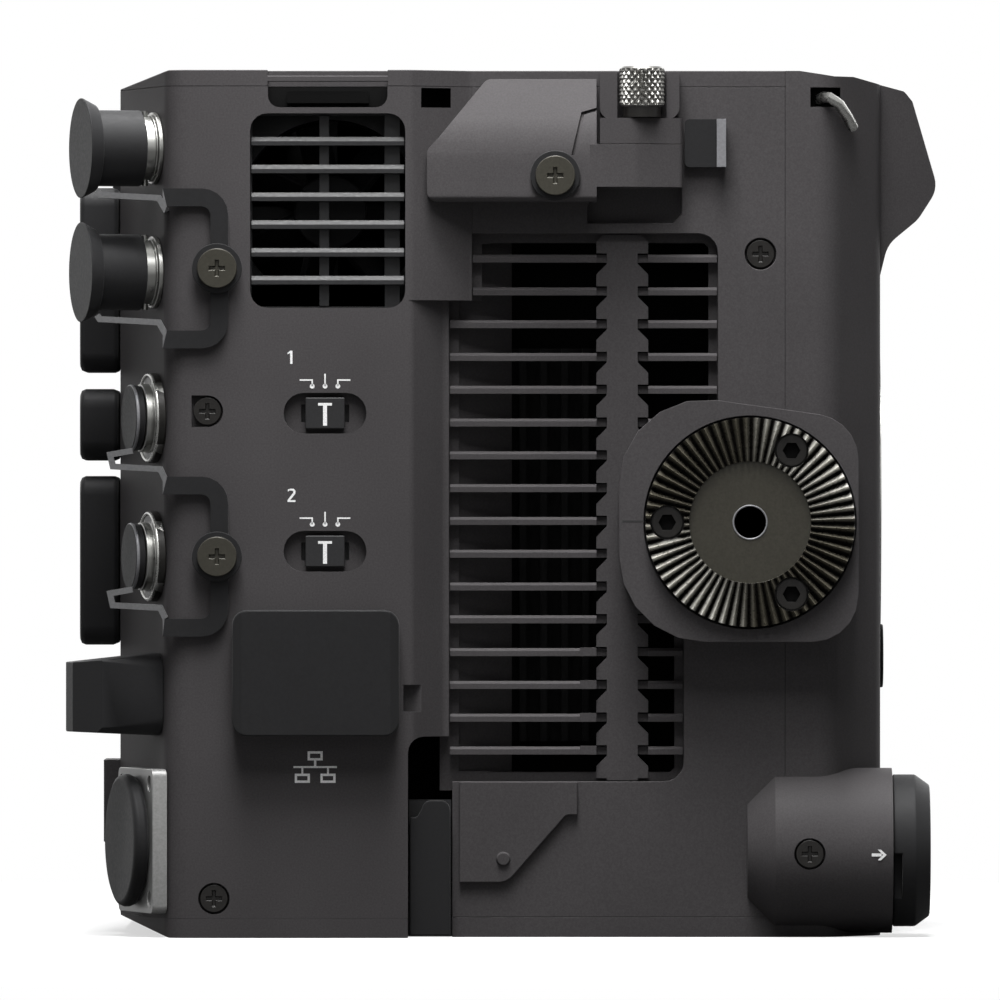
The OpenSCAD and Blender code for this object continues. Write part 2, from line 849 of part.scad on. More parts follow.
// Recess over the vent for a carry strap, with its bar left standing in the top cover
module strap_slot() difference() {
    xz_slab(right_y - overrun, right_y + wall + strap_depth) polygon(rounded_path([[strap_x0, strap_z0],
        [strap_x1, strap_z0], [strap_x1, top_z + overrun], [strap_x0, top_z + overrun]],
        [strap_r, strap_r, 0, 0]));
    block([strap_x0 - overrun, right_y, top_z - 2 * strap_bar_t], [strap_x1 + overrun,
        right_y + strap_bar_t, top_z - strap_bar_t]);
    block([strap_x0 + strap_ledge_in, right_y + wall, strap_z0 + strap_ledge_up],
        [strap_x1 - strap_ledge_in, 0, strap_z0 + strap_ledge_up + strap_ledge_h]);
}
module small_slot() block([step_x + slot_in, right_y - overrun, top_z - slot_drop - slot_h],
    [step_x + slot_in + slot_w, step_y + wall, top_z - slot_drop]);

// The rear cover of the right side reaches to the rear edge of the intake
panel_seat_x = edge_x + 3 * wall;
module rear_side_region() {
    xy_slab(0, shoulder_z) rear_side_plan(intake_x0);
    xy_slab(shoulder_z, far) rear_side_plan(intake_upper_x0);
}
module rear_side_plan(x1) polygon([[edge_x, -far], [x1, -far], [x1, duct_y - rib],
    [panel_seat_x, duct_y - rib], [panel_seat_x, right_y + wall], [edge_x, right_y + wall]]);
module right_rear_cover() color(paint) difference() {
    intersection() {
        walls();
        rear_side_region();
    }
    xz_slab(-far, far) polygon(rect_path(vent_x0, vent_z0, vent_x1, vent_z1, vent_r));
    strap_slot();
    small_slot();
    all_screw_seats();
    for (z = switch_z) switch_recess_cut(z);
    block([lan_x0 + (lan_w - lan_hole_w) / 2, -far, lan_z0 + (lan_h - lan_hole_h) / 2],
        [lan_x0 + (lan_w + lan_hole_w) / 2, far, lan_z0 + (lan_h + lan_hole_h) / 2]);
    block([step_x - notch_in, -far, notch_z], [step_x - notch_in + notch_w, right_y + wall * notch_share,
        notch_z + notch_h]);
    // The upper screw's recess is square at its rear
    block([side_screws[0].x - screw_head_r - gap, -far, side_screws[0].y - screw_head_r - gap],
        [side_screws[0].x, right_y + screw_recess, side_screws[0].y + screw_head_r + gap]);
    grip_recess();
}

module right_front_cover() color(paint) difference() {
    part_of_walls([step_x, -far, 0], [parting_x, duct_y - rib, far]);
    rear_side_region();
    intake_opening(0);
    all_screw_seats();
    grip_recess();
    on_right(rosette_x, rosette_z, step_y + wall + overrun)
        cylinder(r = rosette_thread_r + wall, h = wall + 2 * overrun);
    block([video_port_x + video_hole_in, -far, video_port_z + video_hole_up],
        [video_port_x + video_hole_in + video_hole_w, far, video_port_z + video_hole_up + video_hole_h]);
    // Hollow below the guard, for the monitor's plug
    xz_slab(-far, step_y + wall * under_share) polygon([[guard_x - under_in, guard_z - under_h],
        [guard_x - under_in + under_w - under_in, guard_z - under_h], [guard_x - under_in + under_w,
        guard_z - under_h + under_in], [guard_x - under_in + under_w, guard_z], [guard_x, guard_z],
        [guard_x - under_in, guard_z - 2 * under_in]]);
}

// Intake opening in the side, narrower above the shoulder and below the rosette
module intake_opening(d) xz_slab(-far, step_y + side_step) {
    polygon(rounded_path([[intake_x0 - d, intake_z0 - d], [intake_lower_x1 + d, intake_z0 - d],
        [intake_lower_x1 + d, intake_neck_z], [intake_x1 + d, intake_neck_z], [intake_x1 + d, intake_z1 + d],
        [intake_upper_x0 - d, intake_z1 + d], [intake_upper_x0 - d, shoulder_z], [intake_x0 - d, shoulder_z]],
        [0, intake_r, 0, 0, intake_r, 0, 0, 0]));
}

module front_cover() color(paint) {
    difference() {
        union() {
            part_of_walls([parting_x, -far, 0], [far, far, far]);
            intersection() {
                body(0, cover_top, top_z);
                block([parting_x, -far, 0], [far, far, far]);
            }
            brow();
        }
        block([-far, left_y - left_front_chamfer * 1.2, 0], [front_x - left_front_chamfer, far, cover_top]);
        // The top falls slightly towards the front
        xz_slab(-far, far) polygon(concat([[front_x + nose_shares[0].x * brow_reach, top_z + overrun]],
            [for (p = nose_shares) [front_x + p.x * brow_reach, top_z - p.y * brow_drop]],
            [[front_x + 2 * brow_reach, top_z + overrun]]));
        on_front(0, lens_z, front_x - wall - overrun)
            cylinder(r = mount_d / 2 + mount_hole_gap, h = wall + 2 * overrun);
        on_front(terminal_y, terminal_z, terminal_x1 - terminal_tube_depth - 3 * overrun)
            cylinder(r = terminal_tube_r + gap, h = far);
        on_front(release_x_y, release_x_z, front_x - wall - overrun)
            cylinder(r = release_button_r + gap, h = far);
        on_right(lug_x, lug_z, step_y + far / 10) linear_extrude(far / 5)
            square([lug_hole_w, lug_hole_h], center = true);
    }
}
// Overhang above the lens; its sides draw in towards the front
module brow() intersection() {
    xz_slab(brow_y0 - brow_side, brow_y1 + brow_side) polygon(rounded_path(concat([[front_x - wall, top_z]],
        [for (p = brow_shares) [front_x + p.x * brow_reach, top_z - p.y * brow_drop]],
        [[front_x - wall, top_z - brow_drop]]), brow_radii));
    xy_slab(0, far) polygon([[front_x - wall, brow_y0 - brow_side], [front_x, brow_y0 - brow_side],
        [front_x + brow_reach, brow_y0], [front_x + brow_reach, brow_y1], [front_x, brow_y1 + brow_side],
        [front_x - wall, brow_y1 + brow_side]]);
}

module left_cover() color(paint) difference() {
    part_of_walls([rear_x + left_rear_chamfer, left_bay_y, 0], [front_x - left_front_chamfer, far, far]);
    xz_slab(0, far) polygon(rect_path(media_x0, media_z0, media_x0 + media_w, media_z0 + media_h, media_r));
    on_left(record_x, record_z, left_y - wall - overrun)
        cylinder(r = record_r + gap, h = wall + 2 * overrun);
    on_left(dial_x, dial_z, left_y - wall - overrun) cylinder(r = dial_pin_r + slip, h = far);
    block([power_switch_x - power_switch_w / 2 - gap, 0, power_switch_z - power_switch_h / 2 - gap],
        [power_switch_x + power_switch_w / 2 + power_switch_travel + gap, far,
            power_switch_z + power_switch_h / 2 + gap]);
}

module rear_cover() color(paint) difference() {
    union() {
        part_of_walls([-far, panel_y, 0], [rear_x + left_rear_chamfer, far, far]);
        block([rear_x - port_pad_t, port_y0, rear_plate_z],
            [rear_x + wall / 2, port_y0 + rear_plate_w, rear_plate_z + rear_plate_h]);
    }
    block([-far, battery_y0, battery_z0], [far, battery_y0 + battery_w, battery_z0 + battery_h]);
    for (z = port_z) block([-far, port_y0 + port_hole_inset, z[0] + port_hole_inset],
        [far, port_y0 + port_w - port_hole_inset, z[1] - port_hole_inset]);
    block([-far, battery_y0 + battery_w / 2 - release_slot_w / 2, release_z - release_slot_h],
        [far, battery_y0 + battery_w / 2 + release_slot_w / 2, release_z + release_slot_h + release_travel]);
}

module terminal_panel() color(paint) difference() {
    xy_slab(base_thickness, cover_top) intersection() {
        difference() {
            polygon(plan(0, bevel_run));
            polygon(plan(wall, bevel_run));
        }
        polygon([[-far, -far], [edge_x, -far], [edge_x, right_y + wall], [panel_seat_x, right_y + wall],
            [panel_seat_x, panel_y], [-far, panel_y]]);
    }
    for (z = bnc_z) on_panel(jack_s, z) jack_hole(bnc_tail_r);
    for (z = xlr_z) on_panel(jack_s, z) jack_hole(xlr_r);
    on_panel(sync_s, sync_z) jack_hole(sync_r);
    on_panel(power_s, power_z) jack_hole(power_r + bnc_wall);
}
module jack_hole(r) translate([0, 0, -2 * wall]) cylinder(r = r + slip, h = 2 * wall + overrun);

// Slats and centre rib behind the exhaust opening, on a flange inside the cover
module exhaust_grille() color(plastic) {
    back = right_y + wall;
    difference() {
        block([vent_x0 - vent_flange_w, back, vent_z0 - vent_flange_w],
            [vent_x1 - vent_flange_w / 2, back + vent_flange, vent_z1 + vent_flange_w / 2]);
        block([vent_x0 + gap, 0 - far, vent_z0 + gap],
            [vent_x1 - 2 * vent_flange_w, far, vent_z1 - gap]);
    }
    step = vent_h / (vent_slats + 1);
    for (k = [1 : vent_slats]) translate([0, 0, vent_z0 + k * step])
        yz_slab(vent_x0 + gap / 2, vent_x1 - gap / 2) polygon([
            [back, -vent_slat_t / 2], [right_y + vent_slat_inset, -vent_slat_t / 2],
            [right_y + vent_slat_inset, 0], [right_y + vent_slat_inset + vent_slat_t / 3, vent_slat_t / 2],
            [back, vent_slat_t / 2]]);
    for (k = [1 : vent_slats]) block([vent_x0 + gap / 2, back, vent_z0 + k * step - vent_slat_t / 2],
        [vent_x1 - 2 * vent_flange_w + overrun, back + vent_flange, vent_z0 + k * step + vent_slat_t / 2]);
    block([vent_x0 + vent_rib_in, right_y + vent_slat_inset + vent_slat_t, vent_z0 + gap],
        [vent_x0 + vent_rib_in + vent_rib_w, back + vent_flange, vent_z1 - gap]);
}

// Square fan housing with its motor spokes
module fan_frame() color(plastic) {
    half = fan_side / 2;
    difference() {
        xz_slab(fan_y0, fan_y1) polygon(rect_path(fan_x - half, fan_z - half, fan_x + half, fan_z + half,
            vent_r));
        on_right(fan_x, fan_z, fan_y1 - sink_base_t) cylinder(r = half - fan_wall, h = fan_depth);
        on_right(fan_x, fan_z, fan_y1 + overrun) difference() {
            cylinder(r = half - fan_wall, h = fan_depth);
            for (a = [0, 90]) rotate([0, 0, a]) translate([-half, -fan_spoke_w / 2, 0])
                cube([fan_side, fan_spoke_w, sink_base_t + overrun]);
            cylinder(r = fan_hub_r, h = sink_base_t + overrun);
        }
        on_right(fan_x, fan_z, fan_y1 + overrun) cylinder(r = fan_pin_r + slip / 3, h = fan_depth);
    }
}
module fan_rotor() color(rubber) on_right(fan_x, fan_z, fan_y1 - sink_base_t - gap) {
    depth = fan_depth - sink_base_t - 2 * gap;
    difference() {
        union() {
            cylinder(r = fan_hub_r, h = depth);
            for (k = [0 : fan_blades - 1]) rotate([0, 0, 360 * k / fan_blades])
                translate([fan_hub_r - overrun, 0, depth / 2]) rotate([40, 0, 0])
                translate([0, -fan_blade_t / 2, -depth * 0.42])
                cube([fan_side / 2 - fan_wall - fan_hub_r + overrun - 2 * gap, fan_blade_t, depth * 0.84]);
        }
    }
    translate([0, 0, -sink_base_t + gap]) cylinder(r = fan_pin_r, h = sink_base_t + gap);
}

// Intake tray: floor, side walls, spine and slats in one moulding
module intake_grille() color(paint) {
    floor_y = tray_floor_y;
    intersection() {
        union() {
            difference() {
                intake_prism(-slip, step_y + wall, floor_y + tray_floor_t);
                intake_prism(-slip - tray_wall, 0 - far, floor_y);
                block([intake_upper_x0 + 2 * tray_wall, -far, intake_z0 + tray_wall],
                    [tray_dark_x1, far, intake_z1 - tray_wall]);
                block([spine_x0 + spine_w + overrun, -far, intake_z0 + tray_wall],
                    [intake_lower_x1 - tray_wall, far, intake_z1 - tray_wall]);
                block([spine_x0 + spine_w + overrun, -far, intake_neck_z + tray_wall],
                    [intake_x1 - tray_wall, far, intake_z1 - tray_wall]);
            }
            // Slanted rear wall behind the slats
            xy_slab(intake_z0, intake_z1) polygon([[intake_x0, step_y + tray_slope_near],
                [tray_dark_x0, step_y + tray_slope_far], [tray_dark_x0, floor_y + tray_floor_t],
                [tray_dark_x0 - tray_wall, floor_y + tray_floor_t],
                [intake_x0, step_y + tray_slope_near + tray_floor_t]]);
            for (k = [0 : intake_slats - 1]) slat(intake_first_z - k * intake_pitch, k);
            for (k = [-1 : intake_slats - 1]) spine_lugs(intake_first_z - k * intake_pitch);
            block([spine_x0, step_y + spine_out, intake_z0 + slip], [spine_x0 + spine_w, floor_y + tray_floor_t,
                intake_z1 - slip]);
        }
        intake_prism(-slip, -far, far);
    }
    // Flange that seats on the inside of the cover
    difference() {
        intake_prism(tray_wall, step_y + wall, step_y + wall + tray_wall);
        intake_prism(-slip - tray_wall / 2, -far, far);
    }
}
module intake_prism(d, y0, y1) intersection() {
    intake_opening(d);
    block([-far, y0, -far], [far, y1, far]);
}
// One slat; near the spine it stands back, and the lowest ones have thicker ends there
module slat(z, k) {
    front_y = step_y + slat_out;
    back_y = front_y + slat_depth;
    spine_x1 = spine_x0 + spine_w;
    translate([0, 0, z]) {
        slat_bar(intake_x0 - overrun, spine_x0 - lug_w);
        slat_bar(spine_x1 + lug_w, intake_x1 + overrun);
        block([spine_x0 - lug_w - overrun, front_y + slat_end_in, -slat_t / 2],
            [spine_x1 + lug_w + overrun, back_y, slat_t / 2]);
        if (k >= intake_slats - lower_slats) block([spine_x0 - lug_w - lower_end_w, front_y - slat_t / 4,
            -slat_t / 2], [spine_x0 - lug_w, back_y, (slat_t + lug_gap) / 2]);
    }
}
module slat_bar(x0, x1) {
    front_y = step_y + slat_out;
    yz_slab(x0, x1) polygon([[front_y + slat_depth, -slat_t / 2], [front_y, -slat_t / 2],
        [front_y, slat_t / 6], [front_y + slat_t / 3, slat_t / 2], [front_y + slat_depth, slat_t / 2]]);
}
// Lugs that widen the spine between two slats, with their upper corners cut off
module spine_lugs(z) {
    top = z - slat_t / 2 - lug_gap;
    low = z - intake_pitch + slat_t / 2 + lug_gap;
    mid = spine_x0 + spine_w / 2;
    half = spine_w / 2 + lug_w;
    xz_slab(step_y + spine_out, step_y + slat_out + slat_depth) polygon([[mid - half, low],
        [mid + half, low], [mid + half, top - lug_w], [mid + half - lug_w, top],
        [mid - half + lug_w, top], [mid - half, top - lug_w]]);
}

module intake_lower_plate() color(paint) {
    xz_slab(step_y - plate_t, step_y) polygon(rounded_path([[plate_x, plate_z], [plate_x, plate_z - plate_h],
        [plate_x + plate_foot, plate_z - plate_h], [plate_x + plate_w - plate_heel, plate_z - plate_ear],
        [plate_x + plate_w, plate_z - plate_ear], [plate_x + plate_w, plate_z]],
        [0, 0, plate_toe_r, plate_bump_r, 0, 0]));
    on_right(plate_x + plate_bump_x, plate_z - plate_bump_drop, step_y - plate_t / 2)
        cylinder(r = plate_bump_r, h = plate_t);
}

// Finned block behind the intake gap
module heat_sink() color(bare_metal) {
    x0 = tray_dark_x0 - sink_overlap;
    x1 = tray_dark_x1 + sink_overlap;
    z0 = intake_z0 + sink_margin;
    z1 = vent_z0 - sink_margin;
    block([x0, duct_y - sink_base_t, z0], [x1, duct_y, z1]);
    count = floor((x1 - x0 - sink_fin_t) / sink_fin_pitch);
    for (k = [0 : count]) block([x0 + k * sink_fin_pitch, tray_floor_y + tray_floor_t + gap, z0],
        [x0 + k * sink_fin_pitch + sink_fin_t, duct_y - sink_base_t / 2, z1]);
}

module main_board() color(board_green) {
    y0 = duct_y + 2 * rib;
    y1 = left_bay_y - 2 * rib;
    z1 = cover_top - board_top_gap;
    block([mid_x, y0, board_z0], [mid_x + board_t, y1, z1]);
    for (k = [0 : len(chip_side) - 1]) let (y = y0 + chip_y_shares[k] * (y1 - y0), a = chip_side[k])
        let (z = board_z0 + chip_z_shares[k] * (z1 - board_z0))
        block([mid_x + board_t / 2, y, z], [mid_x + board_t + chip_t, y + a, z + a]);
}

// Rounded pad under the rosette; it seats on the side and on the front chamfer
module housing_outline() polygon(rounded_path([
    [rosette_x - housing_back, rosette_z - housing_down], [rosette_x + housing_front, rosette_z - housing_down],
    [rosette_x + housing_front, rosette_z + housing_low], [rosette_x - housing_back, rosette_z + housing_up]],
    [housing_r, housing_nose_r, housing_nose_r, housing_r]));
module rosette_housing() color(paint) difference() {
    xz_slab(step_y - housing_t, step_y + front_chamfer_y / 2) housing_outline();
    body(0, 0, top_z);
    on_right(rosette_x, rosette_z, step_y - housing_t + rosette_sink)
        cylinder(r = rosette_d / 2 + gap, h = rosette_sink + overrun);
    on_right(rosette_x, rosette_z, step_y + overrun) cylinder(r = rosette_thread_r + gap, h = far);
    for (a = rosette_screw_angles) on_right(rosette_x, rosette_z, step_y + overrun) rotate([0, 0, a])
        translate([rosette_screw_ring, 0, 0]) cylinder(r = screw_shaft_r + slip, h = far);
}

// Toothed disc: crests and roots alternate around the rim and narrow towards the centre
module rosette_disc() color(bronze) on_right(rosette_x, rosette_z, step_y - housing_t + rosette_sink)
    difference() {
        rotate([0, 0, 270 / rosette_teeth / 2]) rosette_teeth_solid();
        translate([0, 0, -overrun]) cylinder(r = rosette_thread_r, h = far);
        for (a = rosette_screw_angles) rotate([0, 0, a]) translate([rosette_screw_ring, 0, 0]) {
            translate([0, 0, rosette_base]) cylinder(r = rosette_screw_r + gap, h = far);
            translate([0, 0, -overrun]) cylinder(r = screw_shaft_r + slip, h = far);
        }
    }
rosette_t = rosette_base + rosette_sink + tooth_depth;
module rosette_teeth_solid() {
    n = 2 * rosette_teeth;
    rim = rosette_d / 2;
    flat_z = rosette_t - tooth_depth - rosette_flat_drop;
    function ring(r, crest, root) = [for (k = [0 : n - 1])
        [r * cos(360 * k / n), r * sin(360 * k / n), k % 2 == 0 ? crest : root]];
    points = concat(ring(rim, 0, 0), ring(rim, rosette_t, rosette_t - tooth_depth),
        ring(rosette_flat_r, rosette_t - tooth_depth * 0.3, rosette_t - tooth_depth * 0.9),
        ring(rosette_flat_r, flat_z, flat_z));
    sides = [for (r = [0 : 2]) for (k = [0 : n - 1]) let (j = (k + 1) % n)
        each [[r * n + k, (r + 1) * n + k, (r + 1) * n + j], [r * n + k, (r + 1) * n + j, r * n + j]]];
    bottom = [[for (k = [0 : n - 1]) k]];
    cap = [[for (k = [n - 1 : -1 : 0]) 3 * n + k]];
    polyhedron(points, concat(sides, bottom, cap), convexity = 4);
}
module rosette_screws() color(rubber) for (a = rosette_screw_angles)
    on_right(rosette_x, rosette_z, step_y - housing_t + rosette_sink) rotate([0, 0, a])
    translate([rosette_screw_ring, 0, 0]) difference() {
        union() {
            translate([0, 0, rosette_base]) cylinder(r = rosette_screw_r, h = rosette_screw_t);
            translate([0, 0, -housing_t + rosette_sink])
                cylinder(r = screw_shaft_r, h = housing_t - rosette_sink + rosette_base);
        }
        translate([0, 0, rosette_base + rosette_screw_t - hex_depth])
            cylinder(r = hex_r, h = hex_depth + overrun, $fn = 6);
    }

// Bayonet flange with its throat tube and three claws
mount_back = front_x - wall;
mount_face = front_x + mount_proud;
module lens_mount_ring() color(bare_metal) difference() {
    union() {
        on_front(0, lens_z, mount_back) cylinder(r = mount_d / 2, h = mount_face - mount_back);
        on_front(0, lens_z, bulkhead_x) cylinder(r = throat_d / 2 + tube_t, h = mount_face - bulkhead_x);
    }
    on_front(0, lens_z, bulkhead_x + claw_t) cylinder(r = throat_d / 2, h = far);
    on_front(0, lens_z, bulkhead_x - overrun) {
        cylinder(r = throat_d / 2 - claw_in, h = far);
        for (a = [0 : 120 : 240]) rotate([0, 0, a]) linear_extrude(claw_t + 2 * overrun)
            sector(throat_d / 2, 120 - claw_sweep);
    }
    on_front(0, lens_z, mount_face - mount_screw_t) mount_screw_places()
        cylinder(r = mount_screw_r + slip, h = far);
    on_front(0, lens_z, bulkhead_x) mount_screw_places()
        cylinder(r = screw_shaft_r + slip, h = far);
}
module mount_screw_places() for (k = [0 : mount_screws - 1]) rotate([0, 0, 45 + 360 * k / mount_screws])
    translate([mount_screw_ring, 0, 0]) children();
module sector(r, sweep) polygon(concat([[0, 0]], [for (k = [0 : 8]) r * [cos(sweep * (k / 8 - 0.5)),
    sin(sweep * (k / 8 - 0.5))]]));
module lens_mount_screws() color(bare_metal) on_front(0, lens_z, mount_face - mount_screw_t)
    mount_screw_places() difference() {
        union() {
            cylinder(r = mount_screw_r, h = mount_screw_t);
            translate([0, 0, -mount_t + mount_screw_t]) cylinder(r = screw_shaft_r, h = mount_t);
        }
        translate([0, 0, mount_screw_t - 0]) cross_recess(0);
    }

module lens_contact_block() color(plastic) on_front(0, lens_z, bulkhead_x - contact_block_t)
    linear_extrude(contact_block_t) difference() {
        sector_up(throat_d / 2 + tube_t, contact_sweep);
        circle(r = contact_block_r);
    }
module sector_up(r, sweep) intersection() {
    circle(r = r);
    rotate([0, 0, 0]) polygon([[0, 0], 2 * r * [cos(sweep / 2), sin(sweep / 2)],
        2 * r * [cos(sweep / 2), -sin(sweep / 2)]]);
}

module image_sensor() color(board_green) {
    x0 = sensor_wall_x + rib;
    block([x0, -sensor_board_w / 2, lens_z - sensor_board_h / 2],
        [x0 + sensor_board_t, sensor_board_w / 2, lens_z + sensor_board_h / 2]);
    block([x0 + sensor_board_t / 2, -sensor_w / 2, lens_z - sensor_h / 2],
        [front_x - flange_distance, sensor_w / 2, lens_z + sensor_h / 2]);
}

// Sloped block that carries the monitor cable's socket
module video_outline() polygon(rounded_path([[video_x, video_z], [video_x + video_w, video_z],
    [video_x + video_w, video_z + video_h], [video_x + video_step_x, video_z + video_h],
    [video_x + video_cheek, video_z + video_slope_z], [video_x, video_z + video_corner]],
    [small_edge_r, 0, 0, small_edge_r, small_edge_r, small_edge_r]));
// Side view of the block, moved inwards by d
module video_profile(d) translate([d, 0]) polygon(rounded_path([[step_y - video_t + video_lip, video_z],
    [step_y - video_t, video_z + video_lip], [step_y - video_t, video_z + video_slope_z],
    [step_y - video_t + video_slope_in, video_z + video_h], [step_y + wall, video_z + video_h],
    [step_y + wall, video_z]], [0, video_lip, video_slope_r, 0, 0, 0]));
module video_block() color(paint) difference() {
    union() {
        intersection() {
            xz_slab(-far, 0) video_outline();
            yz_slab(-far, far) video_profile(0);
        }
        xy_slab(guard_z, guard_z + guard_h) guard_plan(guard_t);
    }
    body(0, 0, top_z);
    on_right(video_screw.x, video_screw.y, step_y - video_t) captive_seat();
    block([guard_x, -far, guard_z + guard_h], [far, far, far]);
    // Clearance for the thumbscrew's stud
    translate([thumb_x, thumb_y, guard_z + guard_h / 2]) cylinder(r = thumb_stud_r + slip, h = far);
    // Groove from the clamp down to the captive screw
    difference() {
        xz_slab(-far, 0) polygon(band_path([for (p = groove_shares)
            [video_x + p.x * video_w, video_z + p.y * video_h]], groove_w));
        yz_slab(-far, far) video_profile(groove_depth);
    }
}
module guard_plan(t) polygon(rounded_path([[guard_x - overrun, step_y + wall], [guard_x - overrun, step_y - t],
    [guard_x + guard_turn, step_y - t], [guard_x + guard_w, step_y - t * guard_end_share],
    [guard_x + guard_w, step_y + wall]], [0, 0, guard_r, guard_end_r, 0]));
// Clamp over the guard: a band below and an upright plate behind the thumbscrew
module clamp_bracket() color(paint) difference() {
    union() {
        xy_slab(guard_z + guard_h + band_gap, bracket_z) intersection() {
            guard_plan(guard_t - bracket_inset);
            translate([guard_x + bracket_inset, -far]) square([far, far]);
        }
        xz_slab(step_y - bracket_back, step_y + wall) polygon(rounded_path([
            [guard_x + bracket_inset, bracket_z - slip], [guard_x + guard_w - bracket_inset,
            bracket_z - slip], [guard_x + guard_w - bracket_inset, bracket_z + bracket_h],
            [guard_x + bracket_inset, bracket_z + bracket_h]], [bracket_r, bracket_r, 0, 0]));
    }
    body(0, 0, top_z);
    translate([thumb_x, thumb_y, 0]) cylinder(r = thumb_stud_r + slip / 2, h = far);
    translate([thumb_x, thumb_y, bracket_z]) cylinder(r = thumb_r + gap, h = far);
}
module thumbscrew() color(bare_metal) translate([thumb_x, thumb_y, bracket_z]) {
    translate([0, 0, slip]) cylinder(r = thumb_neck_r, h = thumb_neck_h);
    translate([0, 0, slip + thumb_neck_h]) cylinder(r = thumb_r, h = thumb_h);
    translate([0, 0, -band_h - guard_h / 4]) cylinder(r = thumb_stud_r, h = band_h + guard_h / 4 + 2 * slip);
}
module video_port_cover() color(rubber) {
    back = step_y - gap / 3;
    xz_slab(back - video_port_t * video_tab_share, back) polygon(rect_path(video_port_x + gap, video_port_z,
        video_port_x + video_port_w, video_port_z + video_port_h, vent_rib_w / 2));
    block([video_port_x + video_port_w - video_port_lip, back - video_port_t, video_port_z],
        [video_port_x + video_port_w, back - overrun, video_port_z + video_port_h]);
}

module captive_screws() color(bronze) {
    for (z = leash_z) on_right(leash_screw_x, z, right_y - leash_t) captive_screw();
    on_right(video_screw.x, video_screw.y, step_y - video_t) captive_screw();
}
module cover_screws() color(rubber) {
    for (p = side_screws) on_right(p.x, p.y) cover_screw();
    on_right(front_side_screw.x, front_side_screw.y, step_y) cover_screw();
    on_right(terminal_screw_x, terminal_z - gap, terminal_y - terminal_r) cover_screw();
}

module strap_lug() color(bare_metal) translate([lug_x, step_y, lug_z])
    wire(concat([[lug_shares[0].x * lug_reach, wall, lug_shares[0].z * lug_reach]], lug_reach * lug_shares),
        lug_wire_r);

// Two coaxial jacks, seen at the top of the terminal panel
module bnc_jacks() color(bare_metal) for (z = bnc_z) on_panel(jack_s, z) difference() {
    union() {
        cylinder(r = bnc_flange_r, h = bnc_flange_t);
        cylinder(r = bnc_r, h = bnc_length);
        translate([0, 0, -bnc_tail]) cylinder(r = bnc_tail_r, h = bnc_tail + bnc_flange_t);
    }
    translate([0, 0, bnc_flange_t]) tube(bnc_r - bnc_wall, bnc_pin_r, far);
}
module bnc_cap(z) color(rubber) on_panel(jack_s, z) translate([0, 0, cap_start]) difference() {
    union() {
        cylinder(r = bnc_r + gap + cap_wall, h = cap_length);
        translate([0, 0, cap_length]) cylinder(r1 = bnc_r + gap + cap_wall + cap_flare * 0.4,
            r2 = bnc_r + gap + cap_wall + cap_flare, h = cap_flare_t);
    }
    translate([0, 0, -overrun]) cylinder(r = bnc_r + gap, h = bnc_length - cap_start + gap + overrun);
}
module bnc_cap_upper() bnc_cap(bnc_z[0]);
module bnc_cap_lower() bnc_cap(bnc_z[1]);

module xlr_jacks() color(bare_metal) for (z = xlr_z) on_panel(jack_s, z) difference() {
    union() {
        cylinder(r = xlr_flange_r, h = xlr_flange_t);
        cylinder(r = xlr_r, h = xlr_out);
        translate([0, 0, -xlr_tail]) cylinder(r = xlr_r, h = xlr_tail + xlr_flange_t);
    }
    translate([0, 0, xlr_out - xlr_bore_depth]) cylinder(r = xlr_bore_r, h = far);
}
module xlr_cap(z) color(rubber) on_panel(jack_s, z) {
    translate([0, 0, xlr_out + slip]) cylinder(r = xlr_cap_r, h = xlr_cap_t);
    translate([0, 0, xlr_out - xlr_plug_depth])
        cylinder(r = xlr_bore_r - gap, h = xlr_plug_depth + slip + xlr_cap_t / 2);
}
module xlr_cap_upper() xlr_cap(xlr_z[0]);
module xlr_cap_lower() xlr_cap(xlr_z[1]);

// Rubber leashes: a flat C on the side, with thin strands that run back to the caps
module cap_leashes() color(rubber) {
    for (z = leash_z) leash_frame(z);
    for (z = bnc_z) leash_strand(strand_reach * bnc_strand_shares, z);
    for (z = xlr_z) leash_strand(strand_reach * xlr_strand_shares, z);
}
module leash_frame(z) {
    x1 = leash_x1;
    x0 = edge_x - strand_t;
    difference() {
        xz_slab(right_y - leash_t, right_y) polygon(band_path(concat([[x0, z + leash_h / 2]],
            corner_arc([x0, z + leash_h / 2], [x1 - leash_w / 2, z + leash_h / 2],
                [x1 - leash_w / 2, z], leash_w, corner_steps),
            corner_arc([x1 - leash_w / 2, z], [x1 - leash_w / 2, z - leash_h / 2],
                [x0, z - leash_h / 2], leash_w, corner_steps), [[x0, z - leash_h / 2]]), leash_w));
        on_right(leash_screw_x, z, right_y - leash_t) captive_seat();
    }
}
module leash_strand(pts, z) difference() {
    xz_slab(right_y - leash_t, right_y + strand_w) translate([edge_x - strand_t, z])
        polygon(band_path(pts, strand_t));
    body(0, 0, top_z);
}

